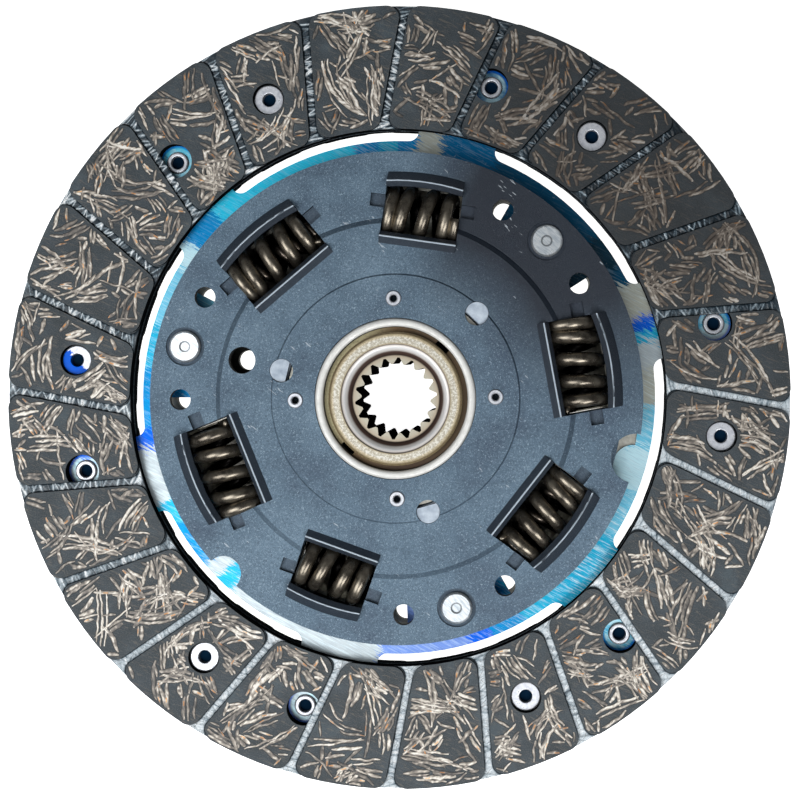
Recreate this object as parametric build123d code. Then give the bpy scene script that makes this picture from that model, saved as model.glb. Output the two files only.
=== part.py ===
from build123d import *
import math
import os

# A car's clutch disc.  All sizes are millimetres.
#
# The shaft axis is Z.  The disc stands on the rear end of its hub, at z = 0, and its front looks up.
# Dial angles are degrees clockwise from +Y, seen from the front.  What repeats round the disc is drawn once
# on the +Y axis, with X along the tangent and Y along the radius, and is then turned to its dial angle.

# ---- driving dimensions: radii, from the hub outwards -------------------------------------------------
SPLINE_TEETH = 18
SPLINE_TIP_R = 8.75
SPLINE_ROOT_R = 10.4
SPLINE_GAP_AT_TIP = 2.45
SPLINE_GAP_AT_ROOT = 0.6
SPLINE_DIAL = 3.7
HUB_FRONT_R = 16.9
HUB_REAR_R = 15.5
HUB_SHOULDER = 1.1
HUB_TOOTH_COUNT = 12
HUB_TOOTH_HEIGHT = 2.5
HUB_TOOTH_HALF_ANGLE = 6.5
HUB_EDGE = 0.5
MOUTH_WALL = 3.0
MOUTH_STEP = 0.3
MOUTH_ROUND = 0.9
MOUTH_FALL = 0.2
MOUTH_CONE = 1.6
MOUTH_CONE_TOP = 1.2
MOUTH_LAND = 0.6
MOUTH_DEPTH = 2.4
REAR_LEAD = 1.1
SLEEVE_WALL = 1.15
BUSH_WALL = 2.1
PREDAMPER_BAND = 14.9
SPRING_INSET = 3.9
SPRING_OD = 14.6
SPRING_WIRE = 3.4
SPRING_PITCH = 5.7
INNER_SPRING_GAP = 0.4
INNER_SPRING_WIRE = 2.0
INNER_SPRING_PITCH = 3.6
COVER_MARGIN = 8.5
RING_WIDTH = 3.65
FACING_MARGIN = 6.25
FACING_OUTER_DIAMETER = 200.0

# ---- driving dimensions: thicknesses, from the rear end of the hub up ----------------------------------
HUB_STUB = 7.8
PLATE_T = 2.4
DIAPHRAGM_HEIGHT = 1.0
DIAPHRAGM_SHEET = 0.6
REAR_WASHER_T = 1.2
PREDAMPER_SHEET = 1.0
PREDAMPER_GAP = 0.8
PREDAMPER_PLATE_T = 1.2
FLANGE_T = 3.6
FLANGE_TO_CARRIER = 1.0
FLANGE_TO_COVER = 0.9
CENTRE_RISE = 1.0
INNER_RISE = 0.4
CARRIER_T = 0.8
CUSHION_GAP = 1.4
FACING_T = 3.5
RETAINER_T = 1.0
HUB_PROUD = 0.1
BUSH_PROUD = 0.4

# ---- clearances, and how far cuts run past a solid and joined pieces into each other ------------------
RUNNING_FIT = 0.05
SLIP_FIT = 0.1
OPEN_GAP = 0.3
SPRING_END_GAP = 0.25
OVERRUN = 1.0

# ---- facings ------------------------------------------------------------------------------------------
GROOVE_COUNT = 24
GROOVE_WIDTH = 2.1
GROOVE_DEPTH = 1.1
GROOVE_OFFSET = 16.2
GROOVE_DIAL = 10.64
PAD_CORNER = 3.2
RIVET_PLACE = 0.46
FACING_RIVETS = 6
FRONT_RIVET_DIAL = 36.7
FLIP_DIAL = 26.75
SEAT_R = 4.0
SEAT_FLOOR = 1.3
CLEARANCE_R = 4.35
RIVET_HEAD_R = 3.7
RIVET_HEAD_T = 0.8
RIVET_SHANK_R = 2.1
RIVET_HOLE_R = 1.65
RIVET_TAIL_R = 2.8
RIVET_TAIL_T = 0.8
RIVET_TAIL_ROUND = 0.5
RIVET_EDGE = 0.25
RIVET_WEB = 0.5

# ---- carrier --------------------------------------------------------------------------------------------
NECK_DIAL = 13.0
NECK_HALF_ANGLE = 8.5
SLOT_DEPTH = 5.95
SLOT_CORNER = 2.6
SLIT_WIDTH = 3.0
CARRIER_INSET = 1.5
CARRIER_LAP = 0.3
JOGGLE_MARGIN = 3.0
JOGGLE_HALF_ANGLE = 3.0
LOBE_HALF_ANGLE = 13.75
LOBE_REACH = 5.0
LOBE_CORNER = 2.0
TONGUE_R = 5.3
TONGUE_OUT = 0.8
TONGUE_DIALS = (106.0, 226.0, 346.0)

# ---- stop pins and the cover plates' small features ---------------------------------------------------
PIN_COUNT = 3
PIN_DIAL = 43.8
PIN_INSET = 7.4
PIN_SHOULDER_R = 5.0
PIN_FRONT_SHANK_R = 3.2
PIN_REAR_SHANK_R = 3.5
PIN_FRONT_HEAD_R = 4.0
PIN_FRONT_HEAD_T = 1.3
PIN_REAR_HEAD_R = 4.25
PIN_REAR_HEAD_T = 1.0
PIN_REAR_CHAMFER = 0.3
PIN_FRONT_CHAMFER = 0.5
PIN_DIMPLE_R = 1.3
PIN_DIMPLE_DEPTH = 0.5
PIN_RECESS_R = 4.9
PIN_RECESS_DEPTH = 0.5
BALANCE_HOLE_R = 2.65
BALANCE_HOLE_ANGLE = 14.1
TOOL_HOLE_R = 3.4
REAR_TOOL_HOLE_R = 2.5
TOOL_HOLE_DIAL = 284.0
TOOL_HOLE_OUT = 4.6
NOTCHES = ((104.0, 6.3), (224.6, 4.5))
RISE_SLOPE = 1.3
CENTRE_ZONE_INSET = 1.6
INNER_ZONE_OUT = 1.7
REAR_PLATE_LAP = 2.1
BEND_R = 0.8

# ---- spring windows -----------------------------------------------------------------------------------
WINDOW_SPREAD = 35.8
LONG_WINDOW = 24.0
SHORT_WINDOW = 19.4
STATION_WINDOWS = (SHORT_WINDOW, LONG_WINDOW, LONG_WINDOW, SHORT_WINDOW, LONG_WINDOW, LONG_WINDOW)
INNER_SPRING_STATIONS = (2, 5)
POCKET_LENGTH = 3.6
POCKET_WIDTH = 3.3
POCKET_DEPTH = 1.2
POCKET_PLACE = 2.4
LIP_CREST_ROUND = 0.35
LIP_ROOT_OUT = 3.4
LIP_CREST_OUT = 1.0
LIP_EDGE_OUT = 0.6
LIP_THROAT_OUT = 2.6
LIP_ROOT_IN = 1.0
LIP_CREST_IN = 0.9
LIP_EDGE_IN = 2.2
LIP_THROAT_IN = 0.1
LIP_RISE = 0.2
LIP_DROP = 1.5
REAR_TROUGH_GAP = 0.6
REAR_TROUGH_SHEET = 1.9
REAR_TROUGH_ROOT = 0.3

# ---- flange -------------------------------------------------------------------------------------------
FLANGE_WINDOW_GAP = 0.3
FLANGE_TOOL_GAP = 0.6
STOP_PLAY = 8.36
FLANGE_PIN_GAP = 1.0
FLANGE_STEP = 2.0
WEB_START = 17.5
WEB_RIM = 3.3
WEB_CORNER = 2.5
HUB_PLAY = 4.2

# ---- bush, retainer, washers --------------------------------------------------------------------------
BUSH_ROUND = 0.9
RETAINER_RIVETS = 4
RETAINER_RIVET_OUT = 4.95
RETAINER_RIVET_DIAL = -1.0
RETAINER_RIM = 2.3
TUBE_R = 1.5
TUBE_HOLE_R = 0.9
TUBE_HEAD_R = 2.0
TUBE_HEAD_T = 0.5
TUBE_EDGE = 0.25
WASHER_BORE_GAP = 0.4
WASHER_OUT = 0.8
LUG_OUT = 1.7
LUG_R = 2.9
LUG_FLAT = 1.5
LUG_SUNK = 0.5
SLEEVE_HEIGHT = 2.4
SLEEVE_SLOT_DIALS = (42.0, 224.0)
SLEEVE_SLOT_WIDTH = 3.8
SLEEVE_SLOT_DEPTH = 1.9
REAR_BUSH_WALL = 1.94
REAR_BUSH_FLANGE = 4.0
REAR_BUSH_FLANGE_T = 1.0
REAR_BUSH_OUT = 0.6
REAR_BUSH_IN = 1.4
REAR_WASHER_BORE_GAP = 1.0
DIAPHRAGM_BORE_GAP = 1.5
REAR_PEG_R = 1.6
REAR_PEG_SUNK = 0.6

# ---- predamper ----------------------------------------------------------------------------------------
COLLAR_LEDGE = 0.7
COLLAR_T = 0.6
PREDAMPER_IN_DISH = 2.4
PREDAMPER_WALL = 1.0
PREDAMPER_PLATE_GAP = 1.0
PREDAMPER_SPRINGS = 4
PREDAMPER_SPRING_IN = 5.0
PREDAMPER_SPRING_OD = 3.8
PREDAMPER_SPRING_WIRE = 0.8
PREDAMPER_SPRING_PITCH = 1.6
PREDAMPER_WINDOW = 11.0
PREDAMPER_PEG_IN = 2.2
PREDAMPER_PEG_R = 2.0
PREDAMPER_PEG_HEIGHT = 2.8
PREDAMPER_PEG_DIAL = 45.0

# ---- worked-out radii ---------------------------------------------------------------------------------
MOUTH_R = HUB_FRONT_R - MOUTH_WALL
MOUTH_CONE_R = MOUTH_R - MOUTH_CONE
SLEEVE_INNER_R = HUB_FRONT_R + RUNNING_FIT
SLEEVE_OUTER_R = SLEEVE_INNER_R + SLEEVE_WALL
BUSH_INNER_R = SLEEVE_OUTER_R + SLIP_FIT
BUSH_OUTER_R = BUSH_INNER_R + BUSH_WALL
COVER_BORE_R = BUSH_OUTER_R + SLIP_FIT
HUB_ROOT_R = HUB_FRONT_R + HUB_SHOULDER
HUB_TIP_R = HUB_ROOT_R + HUB_TOOTH_HEIGHT
COLLAR_R = HUB_TIP_R + COLLAR_LEDGE
RETAINER_RIVET_R = BUSH_OUTER_R + RETAINER_RIVET_OUT
BUSH_FLANGE_R = RETAINER_RIVET_R - TUBE_HEAD_R - OPEN_GAP
RETAINER_R = RETAINER_RIVET_R + RETAINER_RIM
WASHER_INNER_R = RETAINER_R + WASHER_BORE_GAP
LUG_PLACE_R = WASHER_INNER_R + LUG_OUT
INNER_ZONE_R = LUG_PLACE_R + INNER_ZONE_OUT
DISH_R = HUB_TIP_R + PREDAMPER_BAND
WASHER_OUTER_R = DISH_R + WASHER_OUT
TOOL_HOLE_PLACE = DISH_R + TOOL_HOLE_OUT
PREDAMPER_R = DISH_R - PREDAMPER_IN_DISH
PREDAMPER_PLATE_R = PREDAMPER_R - PREDAMPER_WALL - PREDAMPER_PLATE_GAP
PREDAMPER_SPRING_PLACE_R = PREDAMPER_PLATE_R - PREDAMPER_SPRING_IN
PREDAMPER_PEG_PLACE_R = PREDAMPER_PLATE_R - PREDAMPER_PEG_IN
REAR_PEG_PLACE_R = DISH_R - BEND_R - OPEN_GAP - SLIP_FIT - REAR_PEG_R
SPRING_R = SPRING_OD / 2
INNER_SPRING_OD = SPRING_OD - 2 * SPRING_WIRE - 2 * INNER_SPRING_GAP
SPRING_PLACE_R = DISH_R + SPRING_INSET + SPRING_R
COVER_R = SPRING_PLACE_R + SPRING_R + COVER_MARGIN
PIN_PLACE_R = COVER_R - PIN_INSET
RING_OUTER_R = COVER_R + RING_WIDTH
RING_INNER_R = COVER_R - CARRIER_LAP
REAR_PLATE_R = COVER_R + REAR_PLATE_LAP
FACING_INNER_R = COVER_R + FACING_MARGIN
FACING_OUTER_R = FACING_OUTER_DIAMETER / 2
RIVET_CIRCLE_R = FACING_INNER_R + RIVET_PLACE * (FACING_OUTER_R - FACING_INNER_R)
CARRIER_R = FACING_OUTER_R - CARRIER_INSET
SLOT_OUTER_R = RING_OUTER_R + SLOT_DEPTH
CENTRE_ZONE_R = SPRING_PLACE_R - CENTRE_ZONE_INSET
REAR_BUSH_INNER_R = HUB_REAR_R + RUNNING_FIT
REAR_BUSH_OUTER_R = REAR_BUSH_INNER_R + REAR_BUSH_WALL
REAR_BUSH_FLANGE_R = REAR_BUSH_OUTER_R + REAR_BUSH_FLANGE
REAR_WASHER_INNER_R = REAR_BUSH_FLANGE_R + REAR_WASHER_BORE_GAP
DIAPHRAGM_INNER_R = REAR_BUSH_FLANGE_R + DIAPHRAGM_BORE_GAP
DIAPHRAGM_OUTER_R = REAR_PEG_PLACE_R - REAR_PEG_R - OPEN_GAP

# ---- worked-out heights -------------------------------------------------------------------------------
DISH_FRONT_Z = HUB_STUB + PLATE_T
WASHER_REAR_Z = DISH_FRONT_Z + DIAPHRAGM_HEIGHT
PREDAMPER_REAR_Z = WASHER_REAR_Z + REAR_WASHER_T
PREDAMPER_PLATE_Z = PREDAMPER_REAR_Z + PREDAMPER_SHEET + PREDAMPER_GAP
PREDAMPER_FRONT_Z = PREDAMPER_PLATE_Z + PREDAMPER_PLATE_T + PREDAMPER_GAP
FLANGE_Z = PREDAMPER_FRONT_Z + PREDAMPER_SHEET
FLANGE_TOP_Z = FLANGE_Z + FLANGE_T
SPRING_Z = FLANGE_Z + FLANGE_T / 2
CARRIER_TOP_Z = FLANGE_Z - FLANGE_TO_CARRIER
CARRIER_Z = CARRIER_TOP_Z - CARRIER_T
REAR_RIM_Z = CARRIER_Z - PLATE_T
CARRIER_MID_Z = CARRIER_Z + CARRIER_T / 2
WAVE = (CUSHION_GAP - CARRIER_T) / 2
FACING_Z = CARRIER_MID_Z + CUSHION_GAP / 2
FACING_TOP_Z = FACING_Z + FACING_T
COVER_RIM_Z = FLANGE_TOP_Z + FLANGE_TO_COVER
COVER_RIM_TOP_Z = COVER_RIM_Z + PLATE_T
COVER_CENTRE_Z = COVER_RIM_Z + CENTRE_RISE
COVER_CENTRE_TOP_Z = COVER_CENTRE_Z + PLATE_T
COVER_INNER_Z = COVER_CENTRE_Z + INNER_RISE
COVER_INNER_TOP_Z = COVER_INNER_Z + PLATE_T
RETAINER_Z = COVER_INNER_Z - RETAINER_T
HUB_TOP_Z = COVER_INNER_TOP_Z + HUB_PROUD
BUSH_TOP_Z = COVER_INNER_TOP_Z + BUSH_PROUD
SPRING_TOP_Z = SPRING_Z + SPRING_R
PREDAMPER_SPRING_Z = PREDAMPER_PLATE_Z + PREDAMPER_PLATE_T / 2

PIN_DIALS = [PIN_DIAL + 360 / PIN_COUNT * index for index in range(PIN_COUNT)]
STATIONS = sorted((pin + side * WINDOW_SPREAD) % 360 for pin in PIN_DIALS for side in (-1, 1))


# ---- drawing helpers ----------------------------------------------------------------------------------
def turned(shape, dial):
    """Turn what is drawn on the +Y axis to a dial angle."""
    return Rot(0, 0, -dial) * shape


def point_at(radius, dial):
    """The plan position of a radius and a dial angle."""
    return (radius * math.sin(math.radians(dial)), radius * math.cos(math.radians(dial)))


def outline(points, rounds=None):
    """A flat face through its corner points; rounds gives the radius of some corners by their index."""
    face = make_face(Polyline(*points, close=True))
    for index, radius in (rounds or {}).items():
        corner = face.vertices().sort_by_distance(Vector(*points[index]))[0]
        face = fillet(corner, radius)
    return face


def spun(points, rounds=None):
    """Spin an outline of (radius, height) points about the disc's axis."""
    return revolve(Plane.XZ * outline(points, rounds), Axis.Z)


def spun_at(points, radius, dial, rounds=None):
    """Spin an outline about an upright line that stands off the disc's axis."""
    x, y = point_at(radius, dial)
    return Pos(x, y, 0) * spun(points, rounds)


def slab(plan, low, high):
    """Raise a plan to a plate between two heights."""
    return extrude(Pos(0, 0, low) * plan, high - low)


def ring(inner, outer, low, high):
    """A flat ring about the axis."""
    return slab(Circle(outer) - Circle(inner), low, high)


def disc_at(radius, place_r, dial):
    """The plan of a round hole or boss."""
    return Pos(*point_at(place_r, dial)) * Circle(radius)


def bar(width, inner, outer):
    """The plan of a straight bar along the +Y axis between two distances from the centre."""
    return Pos(0, (inner + outer) / 2) * Rectangle(width, outer - inner)


def sector(inner, outer, half_angle):
    """The plan of a piece of a ring, centred on the +Y axis."""
    side = point_at(2 * outer, half_angle)
    wedge = outline([(0, 0), (-side[0], side[1]), side])
    return (Circle(outer) - Circle(inner)) & wedge


def coil(mean_r, wire, pitch, length, left_hand=False):
    """A helical spring along X about the origin, wound half a turn at a time, with both ends ground flat."""
    rise = pitch / 2
    halves = math.ceil((length + 2 * pitch) / rise)
    half_turn = Helix(pitch=pitch, height=rise, radius=mean_r, lefthand=left_hand)
    path = Wire([Pos(0, 0, index * rise) * Rot(0, 0, index * 180) * half_turn for index in range(halves)])
    section = Plane(origin=path @ 0, z_dir=path % 0) * Circle(wire / 2)
    wound = sweep(section, path=path, is_frenet=True)
    along_x = Rot(0, 90, 0) * (Pos(0, 0, -halves * rise / 2) * wound)
    width = 4 * (mean_r + wire)
    return along_x & Box(length, width, width)


def flipped(shape):
    """Turn a front piece over about a radial line in the carrier's middle plane: its rear twin."""
    x, y = point_at(1, FLIP_DIAL)
    return shape.rotate(Axis((0, 0, CARRIER_MID_Z), (x, y, 0)), 180)


# ---- facings and their rivets -------------------------------------------------------------------------
def groove_edge(side, index, radius):
    """Where one edge of a slanted groove crosses a circle about the axis."""
    x = side * GROOVE_WIDTH / 2 - GROOVE_OFFSET
    lean = math.degrees(math.atan2(x, math.sqrt(radius**2 - x**2)))
    return point_at(radius, GROOVE_DIAL + index * 360 / GROOVE_COUNT + lean)


def pad_plan():
    """The plan of one raised pad between two neighbouring grooves."""
    low = FACING_INNER_R - GROOVE_WIDTH
    high = FACING_OUTER_R + GROOVE_WIDTH
    first_side = [groove_edge(1, 0, low), groove_edge(1, 0, high)]
    second_side = [groove_edge(-1, 1, high), groove_edge(-1, 1, low)]
    plan = (Circle(FACING_OUTER_R) - Circle(FACING_INNER_R)) & outline(first_side + second_side)
    return fillet(plan.vertices(), PAD_CORNER)


def front_facing():
    floor_z = FACING_TOP_Z - GROOVE_DEPTH
    body = ring(FACING_INNER_R, FACING_OUTER_R, FACING_Z, floor_z)
    pad = slab(pad_plan(), floor_z, FACING_TOP_Z)
    body += [turned(pad, index * 360 / GROOVE_COUNT) for index in range(GROOVE_COUNT)]
    hole = slab(disc_at(RIVET_SHANK_R + SLIP_FIT, RIVET_CIRCLE_R, FRONT_RIVET_DIAL), FACING_Z, FACING_TOP_Z)
    seat = slab(disc_at(SEAT_R, RIVET_CIRCLE_R, FRONT_RIVET_DIAL), FACING_Z + SEAT_FLOOR, FACING_TOP_Z)
    tail_dial = 2 * FLIP_DIAL - FRONT_RIVET_DIAL
    clearance = slab(disc_at(CLEARANCE_R, RIVET_CIRCLE_R, tail_dial), FACING_Z, FACING_TOP_Z)
    for index in range(FACING_RIVETS):
        body -= [turned(cut, index * 360 / FACING_RIVETS) for cut in (hole, seat, clearance)]
    return body


def front_facing_rivets():
    """Rivets bored from both ends: the head sits in the facing, the clenched tail under the carrier."""
    tail_top = CARRIER_Z + WAVE
    tail = tail_top - RIVET_TAIL_T
    web = tail_top + CARRIER_T
    seat = FACING_Z + SEAT_FLOOR
    head = seat + RIVET_HEAD_T
    shape = [
        (0, web),
        (RIVET_HOLE_R, web),
        (RIVET_HOLE_R, tail),
        (RIVET_TAIL_R, tail),
        (RIVET_TAIL_R, tail_top),
        (RIVET_SHANK_R, tail_top),
        (RIVET_SHANK_R, seat),
        (RIVET_HEAD_R, seat),
        (RIVET_HEAD_R, head),
        (RIVET_HOLE_R, head),
        (RIVET_HOLE_R, web + RIVET_WEB),
        (0, web + RIVET_WEB),
    ]
    rounds = {2: RIVET_EDGE, 3: RIVET_TAIL_ROUND, 8: RIVET_EDGE, 9: RIVET_EDGE}
    rivet = spun_at(shape, RIVET_CIRCLE_R, FRONT_RIVET_DIAL, rounds)
    return Compound([turned(rivet, index * 360 / FACING_RIVETS) for index in range(FACING_RIVETS)])


# ---- carrier ------------------------------------------------------------------------------------------
def carrier_disc():
    """One spring-steel sheet: a ring with three lobes and three tongues, and six joggled paddles."""
    paddle_step = 360 / FACING_RIVETS
    paddle_half = paddle_step / 2
    joggle_r = SLOT_OUTER_R + JOGGLE_MARGIN
    flat = Circle(CARRIER_R) - Circle(RING_INNER_R)
    lobe = sector(RING_INNER_R - PIN_INSET - LOBE_REACH, RING_INNER_R + OVERRUN, LOBE_HALF_ANGLE)
    lobe_inner = lobe.vertices().filter_by_position(Axis.Y, 0, RING_INNER_R - PIN_INSET)
    lobe = fillet(lobe_inner, LOBE_CORNER)
    flat += [turned(lobe, dial) for dial in PIN_DIALS]
    flat += [disc_at(TONGUE_R, RING_INNER_R + TONGUE_OUT, dial) for dial in TONGUE_DIALS]
    slot = sector(RING_OUTER_R, SLOT_OUTER_R, paddle_half - NECK_HALF_ANGLE)
    slot = fillet(slot.vertices(), SLOT_CORNER)
    slit = bar(SLIT_WIDTH, SLOT_OUTER_R - OVERRUN, CARRIER_R + OVERRUN)
    wave = sector(joggle_r, CARRIER_R + OVERRUN, (paddle_half - JOGGLE_HALF_ANGLE) / 2)
    gaps = []
    rear_zones = []
    front_zones = []
    for index in range(FACING_RIVETS):
        paddle = FLIP_DIAL + index * paddle_step
        gaps.append(turned(slot, NECK_DIAL + paddle_half + index * paddle_step))
        gaps.append(turned(slit, paddle + paddle_half))
        rear_zones.append(turned(wave, paddle - paddle_half / 2))
        front_zones.append(turned(wave, paddle + paddle_half / 2))
        for dial in (FRONT_RIVET_DIAL, 2 * FLIP_DIAL - FRONT_RIVET_DIAL):
            gaps.append(disc_at(RIVET_SHANK_R + SLIP_FIT, RIVET_CIRCLE_R, dial + index * paddle_step))
    gaps += [disc_at(PIN_REAR_SHANK_R + SLIP_FIT, PIN_PLACE_R, dial) for dial in PIN_DIALS]
    flat -= gaps
    level = flat - rear_zones - front_zones
    sheet = slab(level, CARRIER_Z, CARRIER_TOP_Z)
    for zones, shift in ((rear_zones, -WAVE), (front_zones, WAVE)):
        for zone in zones:
            sheet += slab(flat & zone, CARRIER_Z + shift, CARRIER_TOP_Z + shift)
    return sheet


# ---- cover plates -------------------------------------------------------------------------------------
def lip(points, length, rounds=None):
    """A straight lip along a window: its (radius, height) section carried along the tangent."""
    return extrude(Plane.YZ * outline(points, rounds), length / 2, both=True)


def front_lips(length):
    """The two lips that fold up over a spring: the outer one follows the rim, the inner one is straight."""
    outer = SPRING_PLACE_R + SPRING_R
    inner = SPRING_PLACE_R - SPRING_R
    crest = SPRING_TOP_Z + LIP_RISE
    outer_points = [
        (outer + LIP_ROOT_OUT, COVER_RIM_TOP_Z),
        (outer + LIP_CREST_OUT, crest),
        (outer - LIP_EDGE_OUT, crest - LIP_DROP),
        (outer + LIP_THROAT_OUT, COVER_RIM_Z),
        (outer + LIP_ROOT_OUT, COVER_RIM_Z),
    ]
    inner_points = [
        (inner - LIP_ROOT_IN, COVER_CENTRE_TOP_Z),
        (inner + LIP_CREST_IN, crest),
        (inner + LIP_EDGE_IN, crest - LIP_DROP),
        (inner + LIP_THROAT_IN, COVER_CENTRE_Z),
        (inner - LIP_ROOT_IN, COVER_CENTRE_Z),
    ]
    rounds = {1: LIP_CREST_ROUND, 2: LIP_CREST_ROUND}
    slice_box = Pos(0, outer, SPRING_Z) * Box(length, SPRING_OD, 2 * SPRING_OD)
    return [spun(outer_points, rounds) & slice_box, lip(inner_points, length, rounds)]


def front_cover_plate():
    """The pressed front plate, raised towards the hub in two steps."""
    slope = RISE_SLOPE / 2
    step = INNER_RISE / 2
    body = spun([
        (COVER_BORE_R, COVER_INNER_Z),
        (INNER_ZONE_R - step, COVER_INNER_Z),
        (INNER_ZONE_R + step, COVER_CENTRE_Z),
        (CENTRE_ZONE_R - slope, COVER_CENTRE_Z),
        (CENTRE_ZONE_R + slope, COVER_RIM_Z),
        (COVER_R, COVER_RIM_Z),
        (COVER_R, COVER_RIM_TOP_Z),
        (CENTRE_ZONE_R + slope, COVER_RIM_TOP_Z),
        (CENTRE_ZONE_R - slope, COVER_CENTRE_TOP_Z),
        (INNER_ZONE_R + step, COVER_CENTRE_TOP_Z),
        (INNER_ZONE_R - step, COVER_INNER_TOP_Z),
        (COVER_BORE_R, COVER_INNER_TOP_Z),
    ])
    low = COVER_RIM_Z - PLATE_T
    high = COVER_INNER_TOP_Z + PLATE_T
    root_in = SPRING_PLACE_R - SPRING_R - LIP_ROOT_IN
    root_out = SPRING_PLACE_R + SPRING_R + LIP_ROOT_OUT
    pocket_r = SPRING_PLACE_R + POCKET_PLACE
    pocket_floor = COVER_RIM_TOP_Z - POCKET_DEPTH
    cuts = []
    lips = []
    for dial, length in zip(STATIONS, STATION_WINDOWS):
        window = bar(length, root_in, root_out) & Circle(root_out)
        pocket = bar(length + 2 * POCKET_LENGTH, pocket_r - POCKET_WIDTH / 2, pocket_r + POCKET_WIDTH / 2)
        cuts.append(turned(slab(window, low, high), dial))
        cuts.append(turned(slab(pocket, pocket_floor, high), dial))
        lips += [turned(one, dial) for one in front_lips(length)]
    for dial in PIN_DIALS:
        cuts.append(slab(disc_at(PIN_FRONT_SHANK_R + SLIP_FIT, PIN_PLACE_R, dial), low, high))
        cuts.append(slab(disc_at(PIN_RECESS_R, PIN_PLACE_R, dial), COVER_RIM_TOP_Z - PIN_RECESS_DEPTH, high))
        cuts.append(slab(disc_at(LUG_R + SLIP_FIT, LUG_PLACE_R, dial), low, high))
    cuts += [slab(plan, low, high) for plan in balance_holes()]
    cuts.append(slab(disc_at(TOOL_HOLE_R, TOOL_HOLE_PLACE, TOOL_HOLE_DIAL), low, high))
    cuts += [slab(disc_at(radius, COVER_R, dial), low, high) for dial, radius in NOTCHES]
    for dial in retainer_rivet_dials():
        cuts.append(slab(disc_at(TUBE_R + SLIP_FIT, RETAINER_RIVET_R, dial), low, high))
    return (body - cuts) + lips


def balance_holes():
    """The plans of the round holes beside the stop pins."""
    place = PIN_PLACE_R - OPEN_GAP
    dials = [pin + side * BALANCE_HOLE_ANGLE for pin in PIN_DIALS for side in (-1, 1)]
    return [disc_at(BALANCE_HOLE_R, place, dial) for dial in dials]


def rear_trough_section():
    """The section of a rear trough, an arc of sheet that runs under a spring from one root to the other."""
    inside = SPRING_R + REAR_TROUGH_GAP
    outside = inside + REAR_TROUGH_SHEET
    top_angle = math.degrees(math.asin((SPRING_Z - CARRIER_Z) / inside))
    root_angle = math.degrees(math.asin((SPRING_Z - REAR_RIM_Z) / outside))

    def on_arc(radius, angle):
        across = radius * math.cos(math.radians(angle))
        return (SPRING_PLACE_R + across, SPRING_Z - radius * math.sin(math.radians(angle)))

    def arc(radius, first, last):
        return ThreePointArc(on_arc(radius, first), on_arc(radius, 90), on_arc(radius, last))

    reach = outside * math.cos(math.radians(root_angle)) + REAR_TROUGH_ROOT
    root_in = SPRING_PLACE_R - reach
    root_out = SPRING_PLACE_R + reach
    inner_arc = arc(inside, top_angle, 180 - top_angle)
    outer_arc = arc(outside, 180 - root_angle, root_angle)
    inner_root = Polyline(inner_arc @ 1, (root_in, CARRIER_Z), (root_in, REAR_RIM_Z), outer_arc @ 0)
    outer_root = Polyline(outer_arc @ 1, (root_out, REAR_RIM_Z), (root_out, CARRIER_Z), inner_arc @ 0)
    return make_face([inner_arc, inner_root, outer_arc, outer_root]), root_in, root_out


def rear_cover_plate():
    """The rear plate, dished behind the predamper, with a trough under each spring."""
    wall_r = DISH_R + PLATE_T
    body = spun(
        [
            (REAR_BUSH_OUTER_R + SLIP_FIT, HUB_STUB),
            (wall_r, HUB_STUB),
            (wall_r, REAR_RIM_Z),
            (REAR_PLATE_R, REAR_RIM_Z),
            (REAR_PLATE_R, CARRIER_Z),
            (DISH_R, CARRIER_Z),
            (DISH_R, DISH_FRONT_Z),
            (REAR_BUSH_OUTER_R + SLIP_FIT, DISH_FRONT_Z),
        ],
        {1: BEND_R + PLATE_T, 2: BEND_R, 5: BEND_R + PLATE_T, 6: BEND_R},
    )
    low = HUB_STUB - PLATE_T
    high = CARRIER_Z + PLATE_T
    section, root_in, root_out = rear_trough_section()
    cuts = []
    troughs = []
    for dial, length in zip(STATIONS, STATION_WINDOWS):
        cuts.append(turned(slab(bar(length, root_in, root_out), REAR_RIM_Z - OVERRUN, high), dial))
        troughs.append(turned(extrude(Plane.YZ * section, length / 2, both=True), dial))
    cuts += [slab(disc_at(PIN_REAR_SHANK_R + SLIP_FIT, PIN_PLACE_R, dial), low, high) for dial in PIN_DIALS]
    cuts += [slab(plan, low, high) for plan in balance_holes()]
    cuts += [slab(disc_at(REAR_PEG_R + SLIP_FIT, REAR_PEG_PLACE_R, dial), low, high) for dial in PIN_DIALS]
    cuts.append(slab(disc_at(REAR_TOOL_HOLE_R, TOOL_HOLE_PLACE, TOOL_HOLE_DIAL), low, high))
    return (body - cuts) + troughs


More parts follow.
